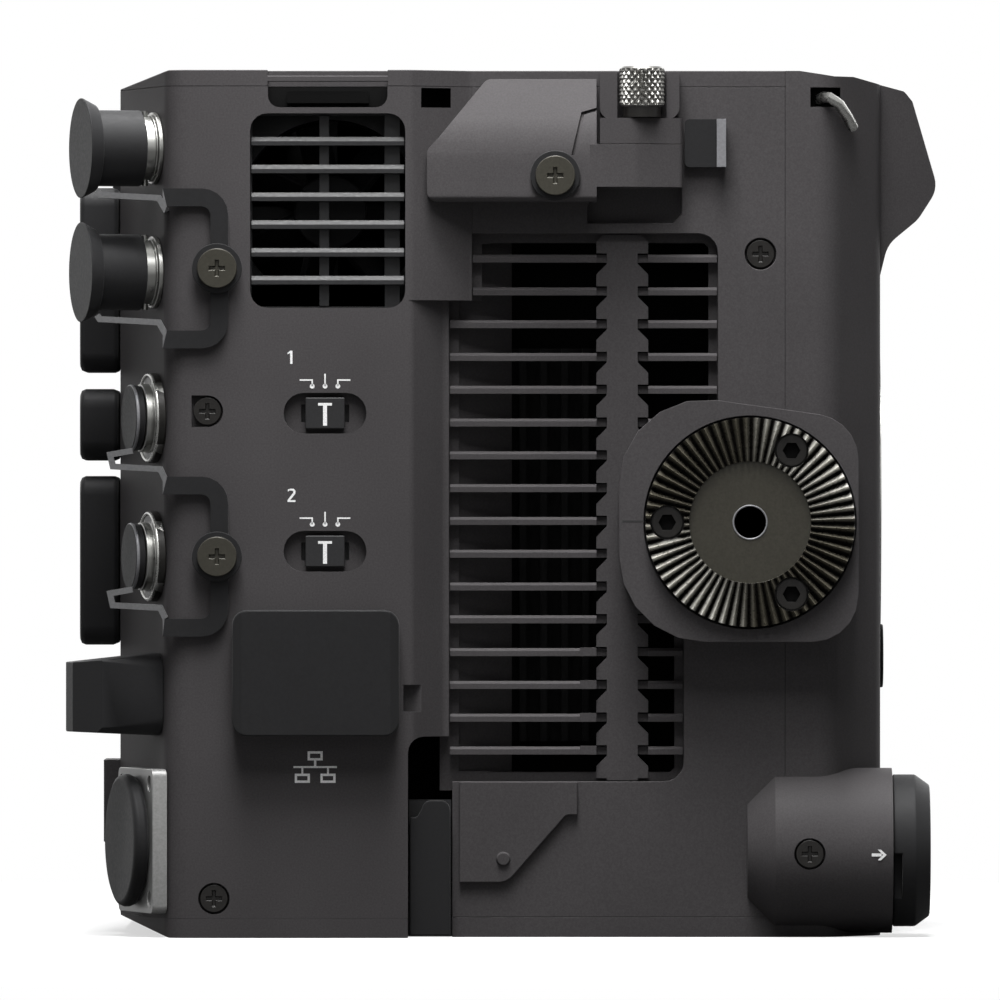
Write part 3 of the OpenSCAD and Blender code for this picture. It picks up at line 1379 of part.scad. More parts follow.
module sync_cap() color(rubber) on_panel(sync_s, sync_z) intersection() {
    translate([0, 0, gap / 3]) linear_extrude(sync_length)
        polygon(rect_path(-sync_h / 2, -sync_w / 2, sync_h / 2, sync_w / 2, sync_edge_r));
    rotate([90, 0, 0]) translate([0, 0, -sync_w]) linear_extrude(2 * sync_w)
        polygon([[-sync_h / 2, 0], [sync_h / 2, 0], [sync_h / 2 - sync_top_in, sync_length],
            [-sync_h / 2 + sync_side_in, sync_length]]);
    rotate([90, 0, 90]) translate([0, 0, -sync_h]) linear_extrude(2 * sync_h)
        polygon([[-sync_w / 2, 0], [sync_w / 2, 0], [sync_w / 2 - sync_nose_in, sync_length],
            [0, sync_length], [-sync_w / 2 + sync_side_in, sync_length - sync_nose]]);
}
module power_inlet() color(bare_metal) on_panel(power_s, power_z) difference() {
    union() {
        linear_extrude(power_t) polygon(rect_path(-power_side / 2, -power_side / 2, power_side / 2,
            power_side / 2, power_corner_r));
        translate([0, 0, -power_tail]) cylinder(r = power_r + bnc_wall, h = power_tail + power_t);
    }
    translate([0, 0, power_t - power_depth]) cylinder(r = power_r, h = far);
    for (p = [[1, 1], [1, -1], [-1, 1], [-1, -1]]) translate([p.x * power_side * power_screw_share,
        p.y * power_side * power_screw_share, power_t - cross_depth]) cylinder(r = screw_shaft_r, h = far);
}
module power_cap() color(rubber) on_panel(power_s, power_z) {
    translate([0, 0, power_t + slip]) cylinder(r = power_cap_r, h = power_cap_t);
    translate([0, 0, power_t - 2 * cap_start])
        cylinder(r = power_r - gap, h = 2 * cap_start + slip + power_cap_t / 2);
}

module lan_jack() color(plastic) {
    cx = lan_x0 + lan_w / 2;
    cz = lan_z0 + lan_h / 2;
    back = right_y + wall;
    difference() {
        block([cx - lan_hole_w / 2 - 1, back, cz - lan_hole_h / 2 - 1],
            [cx + lan_hole_w / 2 + 1, back + lan_jack_depth, cz + lan_hole_h / 2 + 1]);
        block([cx - lan_socket_w / 2, -far, cz - lan_socket_h / 2],
            [cx + lan_socket_w / 2, back + lan_socket_depth, cz + lan_socket_h / 2]);
    }
}
// Rubber cover with a crowned face, turning down on its lower edge
module lan_cover() color(rubber) difference() {
    xz_slab(right_y - gap - lan_t, right_y - gap) polygon(rect_path(lan_x0, lan_z0, lan_x0 + lan_w,
        lan_z0 + lan_h, lan_r));
    for (s = [0, 1]) translate([lan_x0 + s * lan_w, right_y - gap - lan_t, 0]) rotate([0, 0, 45])
        translate([-lan_crown, -lan_crown, 0]) cube([2 * lan_crown, 2 * lan_crown, far]);
}

// Corner recess under the step, shared by both covers, the base and the chassis
module grip_recess() {
    x0 = grip_x0;
    xz_slab(-far, right_y + grip_depth) polygon(rounded_path([[x0, -overrun], [grip_x1, -overrun],
        [grip_x1, grip_top], [x0, grip_top]], [0, 0, 0, grip_r]));
}
module grip_jack() color(plastic) difference() {
    block([grip_x0 + slip, right_y + side_step + gap, gap], [grip_x1 - slip, right_y + grip_depth, grip_cover_h + gap]);
    on_right((grip_x0 + grip_x1) / 2, grip_socket_z, right_y + grip_depth - overrun)
        cylinder(r = grip_r, h = grip_depth);
}
module grip_cover() color(rubber) xz_slab(right_y + side_step - grip_cover_t, right_y + side_step)
    polygon(rounded_path([[grip_x0 + gap, gap], [grip_x1 - gap, gap], [grip_x1 - gap, grip_cover_h + gap],
        [grip_x0 + gap + grip_shoulder, grip_cover_h + gap], [grip_x0 + gap + grip_shoulder / 2,
        grip_cover_h - grip_shoulder], [grip_x0 + gap, grip_cover_h - grip_shoulder]],
        [0, 0, small_edge_r, small_edge_r, small_edge_r / 2, 0]));

// Barrel-shaped housing of the lens control socket
module lens_terminal_housing() color(paint) {
    difference() {
        union() {
            on_front(terminal_y, terminal_z, terminal_x0)
                cylinder(r1 = terminal_rear_r, r2 = terminal_r, h = terminal_taper);
            on_front(terminal_y, terminal_z, terminal_x0 + terminal_taper)
                cylinder(r = terminal_r, h = terminal_x1 - terminal_x0 - terminal_taper);
        }
        body(0, 0, top_z);
        on_front(terminal_y, terminal_z, front_x - far / 2) cylinder(r = terminal_bore_r, h = far);
        on_right(terminal_screw_x, terminal_z - gap, terminal_y - terminal_r) screw_seat();
    }
    difference() {
        on_front(terminal_y, terminal_z, terminal_x1 - terminal_tube_depth - 2 * overrun)
            cylinder(r = terminal_tube_r, h = terminal_tube_depth + overrun);
        on_front(terminal_y, terminal_z, terminal_x1 - terminal_tube_depth)
            cylinder(r = terminal_bore_r, h = far);
    }
}
module lens_terminal_cap() color(rubber) difference() {
    union() {
        on_front(terminal_y, terminal_z, terminal_x1 + slip) {
            cylinder(r = terminal_cap_r, h = terminal_cap_t * cap_rim_share);
            translate([0, 0, terminal_cap_t * cap_rim_share]) cylinder(r1 = terminal_cap_r,
                r2 = terminal_cap_r * cap_nose_share, h = terminal_cap_t * (1 - cap_rim_share));
        }
        on_front(terminal_y, terminal_z, terminal_x1 - terminal_plug_depth)
            cylinder(r = terminal_plug_r, h = terminal_plug_depth + terminal_cap_t / 2);
    }
    block([terminal_x1 + slip - overrun, terminal_y - far, terminal_z - cap_notch_h],
        [terminal_x1 + cap_notch_w, terminal_y - terminal_cap_r * cap_notch_share, terminal_z - gap]);
}

// Moulded battery compartment with guide rails and its contact block
module battery_bay() color(plastic) {
    x0 = rear_x + wall;
    x1 = x0 + battery_depth;
    y0 = battery_y0;
    z0 = battery_z0;
    difference() {
        block([x0, y0 - bay_wall, z0 - bay_wall], [mid_x - rib, y0 + battery_w + bay_wall,
            z0 + battery_h + bay_wall]);
        block([-far, y0, z0], [x1 - bay_wall, y0 + battery_w, z0 + battery_h]);
    }
    block([x1 - bay_wall - contact_out, y0 + (battery_w - contact_w) / 2, z0],
        [x1 - bay_wall + overrun / 2, y0 + (battery_w + contact_w) / 2, z0 + contact_h]);
}
module battery_release() color(rubber) {
    y = battery_y0 + battery_w / 2;
    x = rear_x - gap / 2;
    block([x - release_t, y - release_w / 2, release_z - release_h / 2],
        [x, y + release_w / 2, release_z + release_h / 2]);
    block([x - overrun / 2, y - release_slot_w / 2 + gap, release_z - release_slot_h + gap],
        [rear_x + wall + gap, y + release_slot_w / 2 - gap, release_z + release_slot_h - gap]);
    block([rear_x + wall + gap / 2, y - release_w / 2, release_z - release_slot_h],
        [rear_x + wall + gap / 2 + release_tab, y + release_w / 2, release_z + release_slot_h]);
}

// Sockets behind the rear rubber covers
module rear_sockets() color(bare_metal) for (z = port_z) {
    x0 = rear_x + wall;
    y0 = port_y0 + socket_margin;
    y1 = port_y0 + port_w - socket_margin;
    mid = (z[0] + z[1]) / 2;
    difference() {
        block([x0, y0, z[0] + socket_margin], [x0 + socket_depth, y1, z[1] - socket_margin]);
        block([-far, y0 + socket_side, mid - socket_half_h], [x0 + socket_depth - socket_wall,
            y1 - socket_side, mid + socket_half_h]);
    }
}
module rear_port_cover(z) color(rubber) {
    x1 = rear_x - gap;
    xz_slab_cover(x1 - port_t, x1, port_y0, port_y0 + port_w, z[0] + gap, z[1] - gap);
}
module xz_slab_cover(x0, x1, y0, y1, z0, z1) yz_slab(x0, x1)
    polygon(rect_path(y0, z0, y1, z1, port_r));
module rear_port_cover_upper() rear_port_cover(port_z[0]);
module rear_port_cover_middle() rear_port_cover(port_z[1]);
module rear_port_cover_lower() rear_port_cover(port_z[2]);

// Slide switch: knob in the recess, stem through the slot and a keeper plate inside
module switch_recess_cut(z) {
    half = switch_w / 2;
    on_right(switch_x, z, right_y + switch_recess) linear_extrude(far)
        polygon(rect_path(-half, -switch_h / 2, half, switch_h / 2, switch_h * 0.49));
    slot = switch_stem_w / 2 + switch_travel + slip;
    block([switch_x - slot, -far, z - switch_stem_h / 2 - slip],
        [switch_x + slot, far, z + switch_stem_h / 2 + slip]);
}
module input_switch(z) color(plastic) {
    y0 = right_y + switch_recess - slip;
    block([switch_x - switch_knob_w / 2, y0 - switch_knob_t, z - switch_knob_h / 2],
        [switch_x + switch_knob_w / 2, y0, z + switch_knob_h / 2]);
    block([switch_x - switch_stem_w / 2, y0 - switch_knob_t / 2, z - switch_stem_h / 2],
        [switch_x + switch_stem_w / 2, right_y + wall + slip + switch_plate_t / 2, z + switch_stem_h / 2]);
    block([switch_x - switch_plate_w / 2, right_y + wall + slip, z - switch_plate_h / 2],
        [switch_x + switch_plate_w / 2, right_y + wall + slip + switch_plate_t, z + switch_plate_h / 2]);
}
module input_switch_1() input_switch(switch_z[0]);
module input_switch_2() input_switch(switch_z[1]);

// Push button held behind the cover by its flange; local z leaves the cover, whose face is at zero
module push_button(r, proud) {
    translate([0, 0, -wall - gap]) cylinder(r = r, h = wall + gap + proud);
    translate([0, 0, -wall - gap - button_flange_t]) cylinder(r = r + button_flange, h = button_flange_t);
}
module lens_release_button() color(rubber) on_front(release_x_y, release_x_z)
    push_button(release_button_r, release_button_travel + record_proud);
module record_button() color("#8c1f1c") on_left(record_x, record_z) push_button(record_r, record_proud);

module power_switch() color(plastic) {
    x = power_switch_x;
    z = power_switch_z;
    block([x - power_switch_w / 2, left_y - wall - gap, z - power_switch_h / 2],
        [x + power_switch_w / 2, left_y + power_switch_proud, z + power_switch_h / 2]);
    block([x - power_switch_w, left_y - wall - gap - button_flange_t, z - power_switch_h],
        [x + power_switch_w, left_y - wall - gap, z + power_switch_h]);
}
module control_dial() color(rubber) on_left(dial_x, dial_z) {
    translate([0, 0, slip]) cylinder(r = dial_r, h = dial_proud);
    translate([0, 0, -wall - gap]) cylinder(r = dial_pin_r, h = wall + gap + 2 * slip);
    translate([0, 0, -wall - gap - button_flange_t])
        cylinder(r = dial_pin_r + button_flange, h = button_flange_t);
}

// Door over the card slots, turning on a pin at its front edge
module media_door() color(paint) difference() {
    xz_slab(left_y - wall, left_y) polygon(rect_path(media_x0 + gap, media_z0 + gap,
        media_x0 + media_w - gap, media_z0 + media_h - gap, media_r));
    block([media_x0 + media_w - gap - wall, 0, -far], [far, left_y - door_step, far]);
}
module card_reader() color(bare_metal) {
    y1 = left_y - wall - gap;
    difference() {
        block([media_x0 + reader_margin, left_bay_y, media_z0 + reader_margin],
            [media_x0 + media_w - 2 * reader_margin, y1 - gap, media_z0 + media_h - reader_margin]);
        for (up = card_rise) translate([media_x0 + card_in, left_bay_y + tray_wall, media_z0 + up - card_t / 2])
            cube([card_w, far, card_t]);
    }
}

main_chassis();
right_front_cover();
right_rear_cover();
left_cover();
top_cover();
base_plate();
front_cover();
rear_cover();
terminal_panel();
exhaust_grille();
intake_grille();
intake_lower_plate();
heat_sink();
fan_frame();
rosette_housing();
rosette_disc();
rosette_screws();
lens_mount_ring();
lens_mount_screws();
lens_contact_block();
image_sensor();
video_block();
clamp_bracket();
captive_screws();
cover_screws();
strap_lug();
bnc_jacks();
xlr_jacks();
cap_leashes();
power_inlet();
lan_jack();
grip_jack();
lens_terminal_housing();
battery_bay();
card_reader();
main_board();
rear_sockets();
input_switch_1();
input_switch_2();
lan_cover();
grip_cover();
lens_terminal_cap();
bnc_cap_upper();
bnc_cap_lower();
xlr_cap_upper();
xlr_cap_lower();
sync_cap();
power_cap();
thumbscrew();
video_port_cover();
rear_port_cover_upper();
rear_port_cover_middle();
rear_port_cover_lower();
fan_rotor();
lens_release_button();
record_button();
power_switch();
control_dial();
media_door();
battery_release();
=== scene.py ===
import json
import math

import bmesh
import bpy
from mathutils import Matrix, Vector


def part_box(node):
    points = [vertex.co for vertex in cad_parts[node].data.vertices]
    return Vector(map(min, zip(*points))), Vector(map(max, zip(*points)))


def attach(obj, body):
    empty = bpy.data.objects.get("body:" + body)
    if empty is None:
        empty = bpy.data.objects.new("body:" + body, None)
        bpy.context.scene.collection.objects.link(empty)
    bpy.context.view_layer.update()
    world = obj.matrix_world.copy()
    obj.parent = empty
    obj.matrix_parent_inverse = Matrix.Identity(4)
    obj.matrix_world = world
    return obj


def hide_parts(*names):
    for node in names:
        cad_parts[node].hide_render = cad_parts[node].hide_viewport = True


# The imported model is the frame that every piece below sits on
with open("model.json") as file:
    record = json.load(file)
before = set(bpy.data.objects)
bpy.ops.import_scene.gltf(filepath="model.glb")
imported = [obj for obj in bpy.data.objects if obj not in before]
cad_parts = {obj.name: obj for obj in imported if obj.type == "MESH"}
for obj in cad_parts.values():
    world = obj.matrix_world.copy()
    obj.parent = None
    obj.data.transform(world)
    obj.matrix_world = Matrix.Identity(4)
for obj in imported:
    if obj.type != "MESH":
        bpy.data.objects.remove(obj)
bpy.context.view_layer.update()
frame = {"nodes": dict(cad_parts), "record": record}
SCENE = bpy.context.scene
MM = 0.001
NODE_BODY = {n: b for b, ns in frame["record"]["behaviour"]["bodies"].items() for n in ns}
NODE_SLOT = {s["node"]: s["material_slot"] for s in frame["record"]["subparts"]}
FORWARD = Vector((1, 0, 0))
ACROSS = Vector((0, 1, 0))
UP = Vector((0, 0, 1))
LEVELS = ("upper", "lower")


def middle(node):
    lo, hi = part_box(node)
    return (lo + hi) / 2


# Camera: square on to the camera's right side, from far away
CAMERA_AWAY = 2.560
CAMERA_HEIGHT = 0.0666
CAMERA_LENS = 592.0

SCENE.view_settings.view_transform = "Standard"
cam_data = bpy.data.cameras.new("camera")
cam_data.sensor_width = 36.0
cam_data.lens = CAMERA_LENS
cam_data.clip_start, cam_data.clip_end = 0.1, 20
cam = bpy.data.objects.new("camera", cam_data)
cam.location = (0.0, -CAMERA_AWAY, CAMERA_HEIGHT)
cam.rotation_euler = (math.radians(90), 0, 0)
SCENE.collection.objects.link(cam)
SCENE.camera = cam


# Lights: a near soft key over the right side, a wide top light, and weak ones for the other sides
def area(name, at, to, width, height, watts):
    light = bpy.data.lights.new(name, "AREA")
    light.shape = "RECTANGLE"
    light.size, light.size_y = width, height
    light.energy = watts
    o = bpy.data.objects.new(name, light)
    o.location = at
    o.rotation_mode = "QUATERNION"
    o.rotation_quaternion = (Vector(to) - Vector(at)).to_track_quat("-Z", "Y")
    o.visible_camera = False
    SCENE.collection.objects.link(o)


area("key_near", (-0.01, -0.22, 0.34), (-0.005, -0.06, 0.1), 0.18, 0.18, 1.0)
area("fill_front", (-0.1, -1.5, 0.75), (0, 0, 0.09), 0.5, 0.5, 0.9)
area("top", (-0.01, -0.08, 0.85), (0, 0, 0.1), 0.25, 0.7, 23)
area("rim_front", (0.9, 1.0, 0.5), (0, 0, 0.07), 0.5, 0.8, 3.5)
area("rim_rear", (-0.9, 1.0, 0.4), (0, 0, 0.07), 0.5, 0.8, 0.7)
area("fill_left", (0, 1.5, 0.5), (0, 0, 0.07), 1.6, 0.8, 6)

AMBIENT = 0.04
AMBIENT_COLOUR = (0.97, 0.985, 1.0, 1)
WHITE = (1, 1, 1, 1)


def studio_world():
    """White where the camera, a mirror or glass sees it, and a weak ambient light otherwise."""
    world = bpy.data.worlds.new("studio")
    SCENE.world = world
    world.use_nodes = True
    tree = world.node_tree
    tree.nodes.clear()
    out = tree.nodes.new("ShaderNodeOutputWorld")
    mix = tree.nodes.new("ShaderNodeMixShader")
    backs = []
    for colour, strength in ((AMBIENT_COLOUR, AMBIENT), (WHITE, 1.0)):
        back = tree.nodes.new("ShaderNodeBackground")
        back.inputs["Color"].default_value = colour
        back.inputs["Strength"].default_value = strength
        backs.append(back)
    path = tree.nodes.new("ShaderNodeLightPath")
    seen = path.outputs["Is Camera Ray"]
    for ray in ("Is Transmission Ray", "Is Glossy Ray"):
        add = tree.nodes.new("ShaderNodeMath")
        add.operation = "ADD"
        add.use_clamp = True
        tree.links.new(seen, add.inputs[0])
        tree.links.new(path.outputs[ray], add.inputs[1])
        seen = add.outputs[0]
    tree.links.new(seen, mix.inputs["Fac"])
    tree.links.new(backs[0].outputs[0], mix.inputs[1])
    tree.links.new(backs[1].outputs[0], mix.inputs[2])
    tree.links.new(mix.outputs[0], out.inputs["Surface"])


studio_world()


# Materials: every one is a small graph of noises in object coordinates
def srgb(h):
    h = h.lstrip("#")
    c = [int(h[i:i + 2], 16) / 255 for i in (0, 2, 4)]
    return tuple(x / 12.92 if x <= 0.04045 else ((x + 0.055) / 1.055) ** 2.4 for x in c) + (1.0,)


def grey(v):
    return (v, v, v, 1)


def scaled(c, k):
    return tuple(x * k for x in c[:3]) + (1.0,)


class Graph:
    def __init__(self, name):
        self.mat = bpy.data.materials.new(name)
        self.mat.use_nodes = True
        self.t = self.mat.node_tree
        self.t.nodes.clear()
        self.out = self.t.nodes.new("ShaderNodeOutputMaterial")
        self.bsdf = self.t.nodes.new("ShaderNodeBsdfPrincipled")
        self.t.links.new(self.bsdf.outputs[0], self.out.inputs[0])
        self.coord = self.t.nodes.new("ShaderNodeTexCoord").outputs["Object"]

    def node(self, kind, **props):
        n = self.t.nodes.new(kind)
        for k, v in props.items():
            setattr(n, k, v)
        return n

    def link(self, a, b):
        self.t.links.new(a, b)

    def noise(self, scale, detail=2.0, rough=0.5):
        n = self.node("ShaderNodeTexNoise")
        n.inputs["Scale"].default_value = scale
        n.inputs["Detail"].default_value = detail
        n.inputs["Roughness"].default_value = rough
        self.link(self.coord, n.inputs[0])
        return n.outputs[0]

    def calc(self, operation, a, b):
        """A Math node; its second input is a socket or a number."""
        n = self.node("ShaderNodeMath", operation=operation)
        self.link(a, n.inputs[0])
        if isinstance(b, (int, float)):
            n.inputs[1].default_value = b
        else:
            self.link(b, n.inputs[1])
        return n.outputs[0]

    def between(self, fac, lo, hi, a=0.3, b=0.7):
        """A factor that runs from a to b gives a value from lo to hi."""
        r = self.node("ShaderNodeMapRange")
        r.inputs["From Min"].default_value, r.inputs["From Max"].default_value = a, b
        r.inputs["To Min"].default_value, r.inputs["To Max"].default_value = lo, hi
        self.link(fac, r.inputs["Value"])
        return r.outputs[0]

    def colours(self, fac, a, b, lo=0.3, hi=0.7):
        r = self.node("ShaderNodeValToRGB")
        r.color_ramp.elements[0].position, r.color_ramp.elements[1].position = lo, hi
        r.color_ramp.elements[0].color, r.color_ramp.elements[1].color = a, b
        self.link(fac, r.inputs[0])
        return r.outputs[0]

    def times(self, a, b):
        """Two colours multiplied."""
        m = self.node("ShaderNodeMix", data_type="RGBA", blend_type="MULTIPLY")
        m.inputs["Factor"].default_value = 1.0
        self.link(a, m.inputs["A"])
        self.link(b, m.inputs["B"])
        return m.outputs["Result"]

    def bump(self, height, strength, distance):
        b = self.node("ShaderNodeBump")
        b.inputs["Strength"].default_value = strength
        b.inputs["Distance"].default_value = distance
        self.link(height, b.inputs["Height"])
        self.link(b.outputs[0], self.bsdf.inputs["Normal"])


ROUGH_SPREAD = 0.07
PAINT_BUMP = 0.06 * MM
METAL_BUMP = 0.04 * MM


def coated(name, colour, rough=0.5, grain=3600, vary=0.08, bump=0.12, spec=0.5, metal=0.0, sheen=0.0):
    """Paint, plastic or rubber: faint clouds of tone under a fine grain that also roughens and lifts it."""
    g = Graph(name)
    base = srgb(colour)
    clouds = g.noise(38, 3)
    fine = g.noise(grain, 2, 0.6)
    tone = g.colours(clouds, scaled(base, 1 - vary), scaled(base, 1 + vary))
    g.link(g.times(tone, g.colours(fine, grey(0.86), grey(1.1))), g.bsdf.inputs["Base Color"])
    g.link(g.between(fine, rough - ROUGH_SPREAD, rough + ROUGH_SPREAD), g.bsdf.inputs["Roughness"])
    g.bsdf.inputs["Specular IOR Level"].default_value = spec
    g.bsdf.inputs["Metallic"].default_value = metal
    if sheen:
        g.bsdf.inputs["Sheen Weight"].default_value = sheen
    g.bump(fine, bump, PAINT_BUMP)
    return g.mat


def metal(name, colour, rough=0.3, vary=0.12, scale=1600, bump=0.06):
    """Bare or plated metal."""
    g = Graph(name)
    base = srgb(colour)
    fine = g.noise(scale, 3, 0.6)
    clouds = g.noise(60, 2)
    g.link(g.colours(clouds, scaled(base, 1 - vary), scaled(base, 1 + vary)), g.bsdf.inputs["Base Color"])
    g.bsdf.inputs["Metallic"].default_value = 1.0
    g.link(g.between(fine, rough - 0.08, rough + 0.08), g.bsdf.inputs["Roughness"])
    g.bump(fine, bump, METAL_BUMP)
    return g.mat


M = {}
M["body_paint"] = coated("paint", "#444243", 0.52, spec=0.04)
M["inside"] = coated("inside_black", "#0d0d0d", 0.8, spec=0.08)
M["dark_plastic"] = coated("plastic", "#262627", 0.45, grain=2600, bump=0.08, spec=0.2)
M["soft_rubber"] = coated("rubber", "#1e1e1f", 0.6, grain=2000, bump=0.1, spec=0.12, sheen=0.05)
M["bright_metal"] = metal("nickel", "#a3a3a0", 0.28, bump=0.015)
M["satin_plate"] = coated("satin_plate", "#8c8c8b", 0.42, grain=2400, bump=0.04, spec=0.4, metal=0.35)
M["rosette_metal"] = coated("bronze_plate", "#34322b", 0.4, grain=2600, bump=0.05, spec=0.4, metal=0.4)
M["screw_metal"] = coated("black_screw", "#141210", 0.38, grain=2600, bump=0.05, spec=0.35, metal=0.2)
M["heat_sink"] = coated("black_fins", "#0f0f10", 0.6, grain=1800, bump=0.1, spec=0.15)
M["edge_plate"] = coated("edge_plate", "#77777a", 0.4, grain=2400, bump=0.03, spec=0.3, metal=0.2)
M["strand"] = coated("strand", "#5f5f60", 0.5, grain=2400, bump=0.05, spec=0.2)
M["knurl"] = metal("knurled_steel", "#7d7c79", 0.36, scale=500, bump=0.01)
M["barrel"] = metal("turned_metal", "#8d8d8a", 0.34, scale=500, bump=0.02)
M["gold"] = metal("contact_gold", "#b59a55", 0.25)
M["glass"] = coated("filter_glass", "#0b1413", 0.08, grain=300, vary=0.3, bump=0.0, spec=0.8)
M["circuit_board"] = coated("solder_resist", "#174a31", 0.35, grain=900, bump=0.2)
M["record_red"] = coated("red_plastic", "#8c1f1c", 0.35, bump=0.05)

# Rosette: its teeth, its flat middle and the span of the painted diagonal glint, as products of two offsets
DISC_LO, DISC_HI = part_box("rosette_disc")
DISC = (DISC_LO + DISC_HI) / 2
TOOTH_DEPTH = 1.3 * MM
FLAT_R = 9.3 * MM
GLINT_FROM, GLINT_TO = -12 * MM * MM, 70 * MM * MM


def toothed(name):
    """Plated teeth: painted shade darkens them down in their roots, and a painted glint lightens their crests
    along one diagonal.
    """
    g = Graph(name)
    parts = g.node("ShaderNodeSeparateXYZ")
    g.link(g.coord, parts.inputs[0])
    beside = g.calc("SUBTRACT", parts.outputs["X"], DISC.x)
    above = g.calc("SUBTRACT", parts.outputs["Z"], DISC.z)
    # painted reflection: the teeth are lighter along one diagonal
    diagonal = g.between(g.calc("MULTIPLY", beside, above), 0, 1, GLINT_FROM, GLINT_TO)
    diagonal_glint = g.colours(diagonal, srgb("#6f6b5f"), srgb("#f4f2ea"), 0.0, 1.0)
    # painted shade: the teeth turn near-black down toward their roots
    crest = g.node("ShaderNodeMix", data_type="RGBA")
    rise = g.between(parts.outputs["Y"], -0.35, 1, DISC_LO.y + TOOTH_DEPTH, DISC_LO.y)
    g.link(rise, crest.inputs["Factor"])
    crest.inputs["A"].default_value = srgb("#141210")
    g.link(diagonal_glint, crest.inputs["B"])
    specks = g.colours(g.noise(900, 2), (0.7, 0.7, 0.68, 1), WHITE)
    g.link(g.times(crest.outputs["Result"], specks), g.bsdf.inputs["Base Color"])
    g.bsdf.inputs["Metallic"].default_value = 0.55
    g.link(g.between(g.noise(1600, 2), 0.24, 0.38), g.bsdf.inputs["Roughness"])
    return g.mat


M["teeth"] = toothed("rosette_teeth")


def plain(name, dark, light, scale, rough):
    """Ink, or the painted shadow in an engraved line, hardly mottled."""
    g = Graph(name)
    g.link(g.colours(g.noise(scale, 2), grey(dark), grey(light)), g.bsdf.inputs["Base Color"])
    g.bsdf.inputs["Roughness"].default_value = rough
    return g.mat


INK = plain("mark_ink", 0.62, 0.86, 5200, 0.55)
DARK = plain("engraved_shadow", 0.004, 0.012, 4000, 0.8)

# Terminal panel: where the jacks' axes meet it, found from the box of a flat cap on it
PANEL_TILT = math.radians(15)
OUTWARD = Vector((-math.cos(PANEL_TILT), -math.sin(PANEL_TILT), 0))
FLAT_CAP_R = 5 * MM
FLAT_CAP_TOP = 4.25 * MM
JACK_IN = 8.3 * MM
CAP_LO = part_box("xlr_cap_upper")[0]
JACK_X = CAP_LO.x + FLAT_CAP_TOP * math.cos(PANEL_TILT) + FLAT_CAP_R * math.sin(PANEL_TILT)
JACK_Y = CAP_LO.y + FLAT_CAP_TOP * math.sin(PANEL_TILT) + FLAT_CAP_R * math.cos(PANEL_TILT)
PANEL_EDGE_X = JACK_X + JACK_IN * math.sin(PANEL_TILT)


def on_jack(kind, level, out):
    """The point of a jack's axis that is so far out of the panel."""
    return Vector((JACK_X, JACK_Y, middle(kind + "_cap_" + level).z)) + OUTWARD * out


# Second materials: each test takes a face's middle and its distance from its own solid's axis along Y
TAB_W = 1.5 * MM
TAB_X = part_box("video_port_cover")[1].x - TAB_W
STRAND_X = PANEL_EDGE_X - 0.3 * MM
CAPTIVE_HEAD_R = 3.1 * MM
SOCKET_R = 1.4 * MM
BARREL_R = 5.6 * MM
BARREL_HALF_H = 5.4 * MM


def on_teeth(c, r):
    return math.hypot(c.x - DISC.x, c.z - DISC.z) > FLAT_R


def on_tab(c, r):
    return c.x > TAB_X


def on_strand(c, r):
    return c.x < STRAND_X


def on_collar(c, r):
    return r > CAPTIVE_HEAD_R


# The hex socket takes the near-black interior material: painted shade down in the socket.
def in_socket(c, r):
    return r < SOCKET_R


def on_barrel(c, r):
    beside = Vector((c.x - JACK_X, c.y - JACK_Y, 0)).cross(OUTWARD).length
    return beside < BARREL_R and min(abs(c.z - on_jack("xlr", k, 0).z) for k in LEVELS) < BARREL_HALF_H


SECOND = {"rosette_disc": ("teeth", on_teeth), "video_port_cover": ("edge_plate", on_tab),
          "cap_leashes": ("strand", on_strand), "captive_screws": ("soft_rubber", on_collar),
          "rosette_screws": ("inside", in_socket), "xlr_jacks": ("barrel", on_barrel)}

# Nodes whose first material isn't their slot's, nodes that keep their own mesh, and those drawn below
LOOK = {"main_chassis": "inside", "power_inlet": "satin_plate", "xlr_jacks": "screw_metal",
        "bnc_jacks": "barrel", "card_reader": "satin_plate", "rosette_screws": "screw_metal",
        "lens_mount_screws": "screw_metal"}
KEEP = {"main_chassis", "heat_sink", "main_board", "image_sensor", "rear_sockets", "card_reader",
        "battery_bay", "lens_contact_block", "grip_jack", "lan_jack", "lens_mount_screws"}
OWN = {"thumbscrew"}

# Width of the rounded edges in millimetres, where it isn't the usual one
EDGE = 0.2
EDGES = {"right_rear_cover": 0.35, "front_cover": 0.6, "top_cover": 0.4, "base_plate": 0.5,
         "rosette_housing": 1.1, "video_block": 0.35, "lens_terminal_housing": 0.5, "lens_terminal_cap": 0.8,
         "intake_grille": 0.15, "exhaust_grille": 0.15, "lan_cover": 0.5, "rosette_disc": 0.06,
         "captive_screws": 0.12, "cover_screws": 0.1, "rosette_screws": 0.12, "rear_port_cover_upper": 0.9,
         "rear_port_cover_middle": 0.9, "rear_port_cover_lower": 0.9, "sync_cap": 1.3, "power_cap": 0.9,
         "lens_mount_ring": 0.25, "strap_lug": 0}
WELD = 0.002 * MM
FLAT_ANGLE = math.radians(0.4)
BEVEL_ANGLE = math.radians(32)
SHARP_ANGLE = math.radians(38)


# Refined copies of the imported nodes
def solids_of(bm):
    """The faces of each separate solid."""
    seen, out = set(), []
    for start in bm.faces:
        if start in seen:
            continue
        seen.add(start)
        stack, group = [start], []
        while stack:
            f = stack.pop()
            group.append(f)
            for other in (o for e in f.edges for o in e.link_faces):
                if other not in seen:
                    seen.add(other)
                    stack.append(other)
        out.append(group)
    return out


def mark_second(bm, test):
    for solid in solids_of(bm):
        spots = [v.co for f in solid for v in f.verts]
        x, z = ((min(c[i] for c in spots) + max(c[i] for c in spots)) / 2 for i in (0, 2))
        for f in solid:
            c = f.calc_center_median()
            f.material_index = 1 if test(c, math.hypot(c.x - x, c.z - z)) else 0


